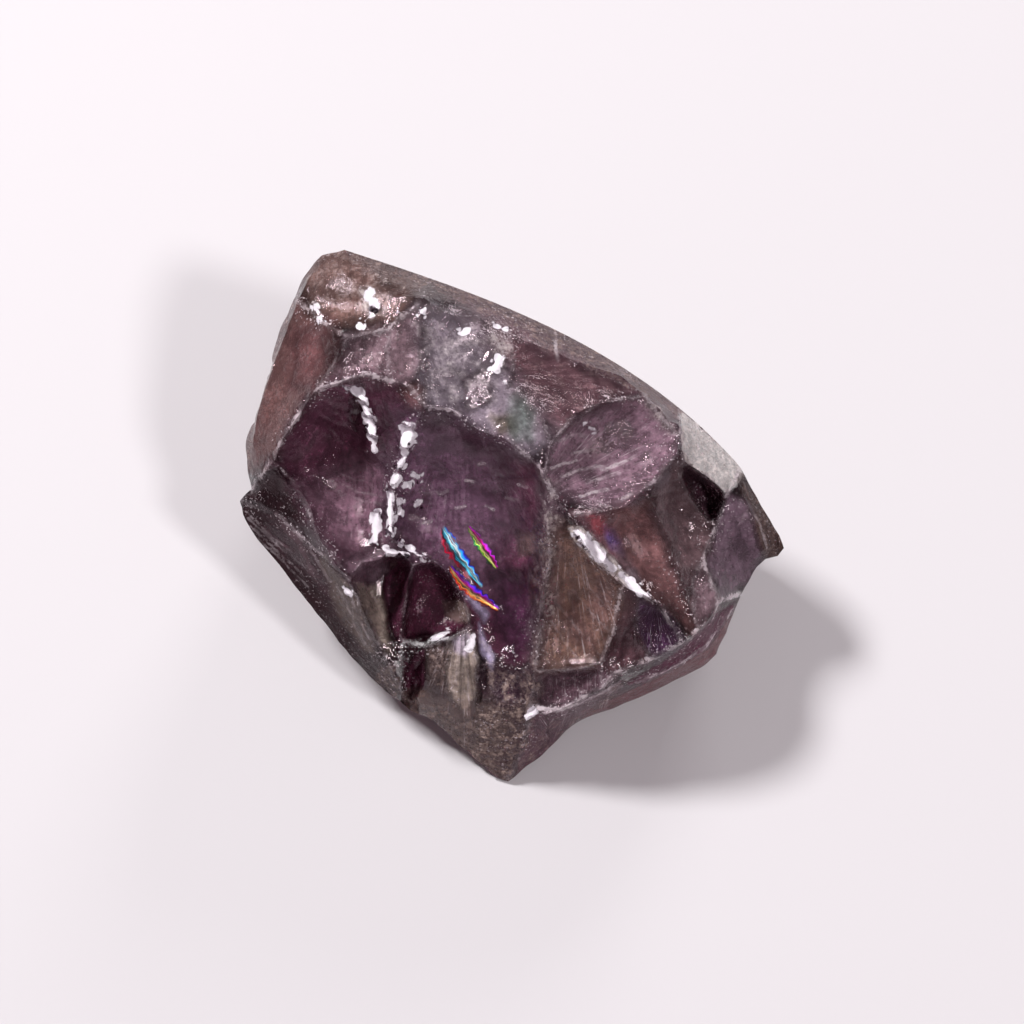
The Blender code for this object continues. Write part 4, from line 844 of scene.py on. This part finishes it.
def crystalMaterial():
    # chrysoberyl, grown as a boule and broken: glassy and transparent on its fresh faces,
    # frosted on its skin and where it was ground, with crushed white powder on its ridges
    material = bpy.data.materials.new("broken chrysoberyl")
    material.use_nodes = True
    tree = material.node_tree
    shader = tree.nodes["Principled BSDF"]
    add = functools.partial(addNode, tree)
    place = add("TexCoord").outputs["Object"]
    painted = add("Attribute", attribute_name="finish")
    parts = add("SeparateColor", {"Color": painted.outputs["Color"]})
    frost, front, warm = parts.outputs["Red"], parts.outputs["Green"], parts.outputs["Blue"]
    rubbed = painted.outputs["Alpha"]
    veil = add("Attribute", attribute_name="veil")
    flow = add("Attribute", attribute_name="flow").outputs["Vector"]
    ridge = add("SeparateXYZ", {0: add("Attribute", attribute_name="ridge").outputs["Vector"]})
    scratch = add("SeparateXYZ", {0: add("Attribute", attribute_name="scratch").outputs["Vector"]})

    grain = add("TexNoise", {
        "Vector": place, "Scale": 1 / crystal["grain"], "Detail": 4.0, "Roughness": 0.7})
    blotch = add("TexNoise", {
        "Vector": place, "Scale": 1 / crystal["blotch"], "Detail": 3.0, "Roughness": 0.65})
    cloud = add("TexNoise", {
        "Vector": place, "Scale": 1 / crystal["cloud"], "Detail": 3.0, "Distortion": 0.6})
    speck = add("TexNoise", {
        "Vector": place, "Scale": 1 / crystal["speck"], "Detail": 2.0, "Roughness": 0.5})
    ripple = add("TexNoise", {
        "Vector": place, "Scale": 1 / crystal["ripple"], "Detail": 4.0, "Distortion": 0.5})
    wander = add("TexNoise", {"Vector": place, "Scale": 1 / crystal["ridgeWander"], "Detail": 4.0,
                              "Roughness": 0.75})
    breaks = add("TexNoise", {"Vector": place, "Scale": 1 / crystal["ridgeBreaks"], "Detail": 3.0})
    along = add("VectorMath", {0: flow, 1: (1.0, 0.35, 1.0)}, operation="MULTIPLY")
    hair = add("TexNoise", {"Vector": along, "Scale": 1 / crystal["hair"], "Detail": 3.0})
    strand = add("TexNoise", {
        "Vector": along, "Scale": 1 / crystal["strand"], "Detail": 3.0, "Distortion": 0.3})

    # a frosted place is patchy: its mask is torn by the blotches and pitted by the grain
    torn = add("Math", {0: frost, 1: add("MapRange", {0: blotch, 1: 0.3, 2: 0.7, 3: -0.24, 4: 0.22})})
    torn = add("MapRange", {0: torn, 1: 0.1, 2: 0.8})
    pitting = add("MapRange", {0: grain, 1: 0.3, 2: 0.7, 3: 0.45, 4: 1.15})
    frosted = add("Math", {0: torn, 1: pitting}, operation="MULTIPLY", use_clamp=True)
    frosted = add("Math", {0: frosted, 1: add("MapRange", {0: frost, 2: 0.1})}, operation="MULTIPLY")

    # the crushed line along a ridge is a hair wide and comes and goes
    stray = add("MapRange", {0: wander, 1: 0.3, 2: 0.7, 3: -0.28, 4: 0.26})
    reach = add("Math", {0: ridge.outputs["X"], 1: stray})
    line = add("MapRange", {0: reach, 2: 0.24, 3: 1.0, 4: 0.0})
    whole = add("MapRange", {0: breaks, 1: 0.40, 2: 0.60, 3: 0.15})
    line = add("Math", {0: line, 1: whole}, operation="MULTIPLY")
    line = add("Math", {0: line, 1: ridge.outputs["Y"]}, operation="MULTIPLY")
    line = add("Math", {0: line, 1: front}, operation="MULTIPLY")

    # single scratches, and the hackle hairs and rubs of whole places
    sway = add("MapRange", {0: wander, 1: 0.3, 2: 0.7, 3: -0.12, 4: 0.10})
    gap = add("Math", {0: scratch.outputs["X"], 1: sway})
    mark = add("MapRange", {0: gap, 2: 0.10, 3: 1.0, 4: 0.0})
    mark = add("Math", {0: mark, 1: scratch.outputs["Y"]}, operation="MULTIPLY")
    mark = add("Math", {0: mark, 1: front}, operation="MULTIPLY")
    for patchy in (add("MapRange", {0: breaks, 1: 0.36, 2: 0.58, 3: 0.1}),
                   add("MapRange", {0: wander, 1: 0.4, 2: 0.6, 3: 0.4})):
        mark = add("Math", {0: mark, 1: patchy}, operation="MULTIPLY")
    hairs = add("Math", {0: add("MapRange", {0: hair, 1: 0.54, 2: 0.68}),
                         1: add("MapRange", {0: strand, 1: 0.42, 2: 0.62})}, operation="MULTIPLY")
    hairs = add("Math", {0: hairs, 1: rubbed}, operation="MULTIPLY")

    # specks of crushed crystal, most of them by the ridges, in the haze and on the skin
    specks = add("MapRange", {0: speck, 1: 0.61, 2: 0.67})
    settled = add("Math", {0: add("MapRange", {0: reach, 1: 0.2, 2: 1.6, 3: 1.0, 4: 0.22}), 1: frost},
                  operation="MAXIMUM")
    settled = add("Math", {0: settled, 1: add("MapRange", {0: cloud, 1: 0.42, 2: 0.6, 3: 0.15})},
                  operation="MULTIPLY")
    specks = add("Math", {0: specks, 1: settled}, operation="MULTIPLY")
    powdered = add("Math", {0: line, 1: specks}, operation="MAXIMUM")
    powdered = add("Math", {0: powdered, 1: mark}, operation="MAXIMUM")
    # the struck steps are painted near-white, a painted glint over the flash of the key light off their
    # tilt
    cells = add("TexVoronoi", {"Vector": place, "Scale": 1 / crystal["cell"]})
    bite = add("MapRange", {0: cells.outputs["Distance"], 1: 0.35, 2: 0.65, 3: -0.24, 4: 0.14})
    bite = add("Math", {0: bite, 1: add("Math", {0: stray, 1: 0.5}, operation="MULTIPLY")})
    struck = add("Math", {0: ridge.outputs["Z"], 1: bite})
    struck = add("MapRange", {0: struck, 1: -0.02, 2: 0.10, 3: 1.0, 4: 0.0})
    struck = add("Math", {0: struck, 1: front}, operation="MULTIPLY")
    powdered = add("Math", {0: powdered, 1: add("Math", {0: hairs, 1: 0.7}, operation="MULTIPLY")},
                   operation="MAXIMUM", use_clamp=True)

    # the veils are thicker and thinner in clouds and streaked along the hackle
    clouded = add("MapRange", {0: cloud, 1: 0.3, 2: 0.7, 3: 0.55, 4: 1.35})
    thick = add("Math", {0: veil.outputs["Alpha"], 1: clouded}, operation="MULTIPLY")
    streaks = add("MapRange", {0: strand, 1: 0.3, 2: 0.7, 3: -0.5, 4: 0.5})
    streaks = add("Math", {0: streaks, 1: scratch.outputs["Z"], 2: 1.0}, operation="MULTIPLY_ADD")
    thick = add("Math", {0: thick, 1: streaks}, operation="MULTIPLY")
    lively = add("MapRange", {0: scratch.outputs["Z"], 1: 0.05, 2: 0.30, 3: 0.2, 4: 1.0})
    lumps = add("MapRange", {0: blotch, 1: 0.35, 2: 0.65, 3: -0.28, 4: 0.28})
    lumps = add("Math", {0: lumps, 1: lively, 2: 1.0}, operation="MULTIPLY_ADD")
    thick = add("Math", {0: thick, 1: lumps}, operation="MULTIPLY")
    thick = add("Math", {0: thick, 1: add("MapRange", {0: grain, 1: 0.3, 2: 0.7, 3: 0.65, 4: 1.35})},
                operation="MULTIPLY")
    crushed = add("Math", {0: frosted, 1: powdered}, operation="MAXIMUM")
    crushed = add("Math", {0: crushed, 1: struck}, operation="SUBTRACT", use_clamp=True)
    dull = add("Math", {0: add("Math", {0: crushed, 1: struck}, operation="MAXIMUM"), 1: thick},
               operation="MAXIMUM", use_clamp=True)

    tone = add("ValToRGB", {"Fac": warm}, stops=list(zip((0, 0.5, 1), map(colour, crystal["frostTones"]))))
    mottle = add("MapRange", {0: blotch, 1: 0.34, 2: 0.66, 3: 0.4, 4: 1.9})
    mottled = add("HueSaturation", {"Color": tone, "Fac": add("MapRange", {0: warm, 2: 0.4, 3: 0.25}),
                                    "Value": mottle})
    pits = add("Math", {0: add("MapRange", {0: grain, 1: 0.42, 2: 0.51, 3: 0.95, 4: 0.0}),
                        1: add("MapRange", {0: wander, 1: 0.44, 2: 0.53, 3: 0.85, 4: 0.0})},
               operation="MAXIMUM")
    pits = add("Math", {0: pits, 1: add("MapRange", {0: warm, 2: 0.3, 3: 0.2})}, operation="MULTIPLY")
    pitted = add("Mix", {0: pits, 6: mottled, 7: colour(crystal["frostPits"])}, data_type="RGBA")
    shaded = add("HueSaturation", {"Color": veil.outputs["Color"], "Fac": lively, "Value": add("MapRange", {
        0: ripple, 1: 0.32, 2: 0.68, 3: 0.78, 4: 1.25})})
    cloudy = add("Mix", {0: add("MapRange", {0: thick, 2: 0.03}), 6: colour("ffffff"), 7: shaded},
                 data_type="RGBA")
    skinned = add("Mix", {0: frosted, 6: cloudy, 7: pitted}, data_type="RGBA")
    dusty = add("Mix", {0: powdered, 6: skinned, 7: colour(crystal["powder"])}, data_type="RGBA")
    # painted glint: the struck steps take the near-white
    base = add("Mix", {0: struck, 6: dusty, 7: colour(crystal["paintedGlint"])}, data_type="RGBA")
    clear = add("MapRange", {0: dull, 3: 1.0, 4: 0.15})
    rough = add("MapRange", {0: crushed, 3: crystal["polish"], 4: 0.5})
    for socket, node in (("Base Color", base.outputs[2]), ("Transmission Weight", clear.outputs[0]),
                         ("Roughness", rough.outputs[0])):
        tree.links.new(node, shader.inputs[socket])
    shader.inputs["IOR"].default_value = crystal["ior"]
    shader.inputs["Specular IOR Level"].default_value = crystal["gloss"]
    shader.inputs["Specular Tint"].default_value = colour(crystal["glint"])

    # hackle strands run out from where each crack began, grains stand on the frosted skin,
    # and the small steps that flash are smooth
    smooth = add("MapRange", {0: ridge.outputs["Z"], 1: -0.2, 2: 0.1, 3: 0.12, 4: 1.0})
    strands = add("TexNoise", {"Vector": flow, "Scale": 3.0, "Detail": 4.0, "Distortion": 0.4})
    hairHeight = add("Math", {0: hair, 1: rubbed}, operation="MULTIPLY")
    height = add("Math", {0: add("Math", {0: strands, 1: hairHeight}), 1: smooth}, operation="MULTIPLY")
    height = add("Math", {0: height, 1: scratch.outputs["Z"]}, operation="MULTIPLY")
    strandBump = add("Bump", {"Height": height, "Strength": 1.0, "Distance": crystal["strandDepth"]})
    height = add("Math", {0: ripple, 1: smooth}, operation="MULTIPLY")
    rippleBump = add("Bump", {"Height": height, "Strength": 1.0, "Distance": crystal["rippleDepth"],
                              "Normal": strandBump})
    # a bump works its height out several times over, so this one reads what is painted, not the masks
    covered = add("Math", {0: frost, 1: veil.outputs["Alpha"]}, operation="MAXIMUM", use_clamp=True)
    height = add("Math", {0: grain, 1: covered}, operation="MULTIPLY")
    grainBump = add("Bump", {"Height": height, "Strength": 1.0, "Distance": crystal["grainDepth"],
                             "Normal": rippleBump})
    tree.links.new(grainBump.outputs["Normal"], shader.inputs["Normal"])

    inside = add("VolumeAbsorption", {"Color": colour(crystal["absorb"]), "Density": crystal["density"]})
    tree.links.new(inside.outputs["Volume"], tree.nodes["Material Output"].inputs["Volume"])
    return material


stone.data.materials.clear()
stone.data.materials.append(crystalMaterial())
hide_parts(stoneNode)
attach(stone, "root")
print("stone dressed")


# cracks that come out at the bowl's face and split the light into colours, here a painted sheen on thin
# sheets laid on it: the line of each in sketch squares, its half width, and its colours from left to right
crack = {
    "lift": 0.02 * mm,
    "thickness": 0.03 * mm,
    "rough": 0.35,
    "steps": (12, 48),          # faces across and along
    "ripple": 0.10,             # squares
    "ragged": 0.7,              # share of the width that the torn edges wander
    "fibre": (12.0, 3.5),       # streaks across and along the sheet
    "mirror": 0.5,
}
crackBands = {
    "crack_upper": dict(line=[(-6.9, -1.0), (-6.3, -2.4), (-5.3, -4.0), (-4.1, -5.6), (-3.0, -7.0)],
                        halfWidth=[0.30, 0.85, 0.80, 0.62, 0.20],
                        paintedSheenColours=["3a1424", "e01440", "8a1830", "301020", "18b8e0", "8cf0ff", "ffffff",
                                 "38c8ff", "2438d8", "3a1440"]),
    "crack_lower": dict(line=[(-6.2, -4.8), (-5.2, -6.2), (-3.9, -7.5), (-2.6, -8.3), (-1.3, -9.2)],
                        halfWidth=[0.20, 0.55, 0.70, 0.60, 0.20],
                        paintedSheenColours=["3a1420", "e0241c", "ff8a1e", "ffe08c", "c81c50", "a01cb8", "2c1cc8",
                                 "2c1038"]),
    "crack_short": dict(line=[(-4.4, -0.9), (-3.6, -2.0), (-2.8, -3.2), (-2.0, -4.3), (-1.5, -5.1)],
                        halfWidth=[0.20, 0.50, 0.58, 0.50, 0.20],
                        paintedSheenColours=["2c1430", "1c9850", "a8d83c", "ffe8a0", "401028", "e81c98", "c02ce0",
                                 "30104c"]),
}


def crackMaterial(name, paintedSheenColours):
    # the gap of a crack: thin as a soap film, it throws back bands of pure colour, here a painted sheen
    material = bpy.data.materials.new(name)
    material.use_nodes = True
    tree = material.node_tree
    shader = tree.nodes["Principled BSDF"]
    add = functools.partial(addNode, tree)
    sheet = add("SeparateXYZ", {0: add("TexCoord").outputs["UV"]})
    across, down = sheet.outputs["X"], sheet.outputs["Y"]
    fibres = add("CombineXYZ", {0: add("Math", {0: across, 1: crack["fibre"][0]}, operation="MULTIPLY"),
                                1: add("Math", {0: down, 1: crack["fibre"][1]}, operation="MULTIPLY")})
    streak = add("TexNoise", {"Vector": fibres, "Scale": 1.0, "Detail": 3.0, "Roughness": 0.6})
    shift = add("MapRange", {0: streak, 1: 0.3, 2: 0.7, 3: -0.10, 4: 0.10})
    hues = add("ValToRGB", {"Fac": add("Math", {0: across, 1: shift})},
               stops=[(i / (len(paintedSheenColours) - 1), colour(text)) for i, text in enumerate(paintedSheenColours)])
    # the painted sheen is bright only in patches, as where the gap has just the right width
    patches = add("TexNoise", {"Vector": fibres, "Scale": 0.35, "Detail": 2.0})
    paintedSheenPatches = add("MapRange", {0: patches, 1: 0.38, 2: 0.54, 3: 0.1, 4: 1.5})
    hues = add("HueSaturation", {"Color": hues, "Value": paintedSheenPatches})
    # the sheet fades to plain crystal at its torn edges
    side, ends = (add("Math", {0: way, 1: add("Math", {0: 1.0, 1: way}, operation="SUBTRACT")},
                      operation="MULTIPLY") for way in (across, down))
    edge = add("Math", {0: add("MapRange", {0: side, 2: 0.10}), 1: add("MapRange", {0: ends, 2: 0.05})},
               operation="MULTIPLY")
    torn = add("Math", {0: edge, 1: add("MapRange", {0: streak, 1: 0.38, 2: 0.56})}, operation="MULTIPLY")
    tree.links.new(hues.outputs[0], shader.inputs["Base Color"])
    tree.links.new(torn.outputs[0], shader.inputs["Alpha"])
    shader.inputs["Metallic"].default_value = crack["mirror"]
    shader.inputs["Roughness"].default_value = crack["rough"]
    return material


def makeCrack(name, band, surface):
    across, along = crack["steps"]
    bpy.ops.mesh.primitive_grid_add(x_subdivisions=across, y_subdivisions=along, size=1, calc_uvs=True)
    sheet = bpy.context.object
    sheet.name = name
    line = np.array(band["line"], float)
    stations = np.linspace(0, 1, len(line))
    view = (fromSketch(0, 0, 1) - fromSketch(0, 0, 0)).normalized()
    for vertex in sheet.data.vertices:
        side, share = -vertex.co.x * 2, 0.5 - vertex.co.y
        middle = np.array([np.interp(share, stations, line[:, i]) for i in (0, 1)])
        ahead = np.array([np.interp(min(share + 0.03, 1), stations, line[:, i]) for i in (0, 1)])
        behind = np.array([np.interp(max(share - 0.03, 0), stations, line[:, i]) for i in (0, 1)])
        run = (ahead - behind) / np.hypot(*(ahead - behind))
        half = np.interp(share, stations, band["halfWidth"])
        half *= 1 + crack["ragged"] * noise.noise(Vector((share * 16, side * 1.5, len(name))))
        u, v = middle + np.array([-run[1], run[0]]) * -side * half
        hit, _, _, _ = surface.ray_cast(fromSketch(u, v, 40), -view)
        ripple = crack["ripple"] * square * abs(noise.noise(Vector((u * 2.2, v * 0.8, 1.0))))
        vertex.co = hit + view * (crack["lift"] + ripple * (1 - side * side))
    thicken = sheet.modifiers.new("thickness", "SOLIDIFY")
    thicken.thickness = crack["thickness"]
    bpy.ops.object.modifier_apply(modifier=thicken.name)
    bpy.ops.object.shade_smooth()
    sheet.data.materials.append(crackMaterial("painted rainbow sheen of " + name, band["paintedSheenColours"]))
    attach(sheet, "root")


surface = BVHTree.FromObject(stone, bpy.context.evaluated_depsgraph_get())
for name, band in crackBands.items():
    makeCrack(name, band, surface)
print("cracks laid")


studio = {
    "floorSize": 2.4,
    "floorColour": "cbc7ca",
    "cameraDistance": 0.18,
    "cameraElevation": math.radians(65),
    "pictureWidth": (high.x - low.x) * 1024 / 544,  # the stone takes up 544 of 1024 parts
    "lookAt": (0.0, 0.5, -2.5),             # sketch squares at the picture's middle
    # the light all round, from the horizon up to straight overhead
    "sky": [(0.0, "a89c9c"), (0.10, "94878a"), (0.35, "76696e"), (1.0, "7c6e74")],
    # each lamp: direction from the stone, distance, width and watts
    "lamps": {
        "key": ((-0.539, 0.423, 0.730), 0.5, 0.10, 2.9),
        "fill": ((0.52, -0.38, 0.76), 0.6, 0.10, 1.7),
        "back": ((0.35, 0.86, 0.36), 0.5, 0.16, 0.9),
    },
}


def makeFloor():
    bpy.ops.mesh.primitive_plane_add(size=studio["floorSize"], location=(0, 0, -0.00005))
    floor = bpy.context.object
    floor.name = "floor"
    material = bpy.data.materials.new("pale paper")
    material.use_nodes = True
    shader = material.node_tree.nodes["Principled BSDF"]
    shader.inputs["Base Color"].default_value = colour(studio["floorColour"])
    shader.inputs["Roughness"].default_value = 0.8
    floor.data.materials.append(material)


def makeLights():
    world = bpy.data.worlds.new("studio")
    world.use_nodes = True
    tree = world.node_tree
    split = addNode(tree, "SeparateXYZ", {0: addNode(tree, "TexCoord").outputs["Generated"]})
    stops = [(height, colour(text)) for height, text in studio["sky"]]
    shade = addNode(tree, "ValToRGB", {"Fac": split.outputs["Z"]}, stops=stops)
    tree.links.new(shade.outputs["Color"], tree.nodes["Background"].inputs["Color"])
    bpy.context.scene.world = world
    middle = Vector((0, 0, 0.008))
    for name, (direction, distance, width, watts) in studio["lamps"].items():
        direction = Vector(direction).normalized()
        bpy.ops.object.light_add(type="AREA", location=middle + direction * distance)
        lamp = bpy.context.object
        lamp.name = name
        lamp.data.shape = "DISK"
        lamp.data.size = width
        lamp.data.energy = watts
        lamp.rotation_euler = direction.to_track_quat("Z", "Y").to_euler()


def makeCamera():
    distance = studio["cameraDistance"]
    away = Vector((0, -math.cos(studio["cameraElevation"]), math.sin(studio["cameraElevation"])))
    bpy.ops.object.camera_add(location=fromSketch(*studio["lookAt"]) + away * distance,
                              rotation=away.to_track_quat("Z", "Y").to_euler())
    camera = bpy.context.object
    camera.data.lens = camera.data.sensor_width * distance / studio["pictureWidth"]
    camera.data.clip_start = 0.01
    bpy.context.scene.camera = camera


makeFloor()
makeLights()
makeCamera()
scene = bpy.context.scene
scene.view_settings.view_transform = "Standard"
scene.cycles.use_denoising = True
scene.cycles.max_bounces = 8
scene.cycles.transmission_bounces = 8
print("floor, light and camera set")
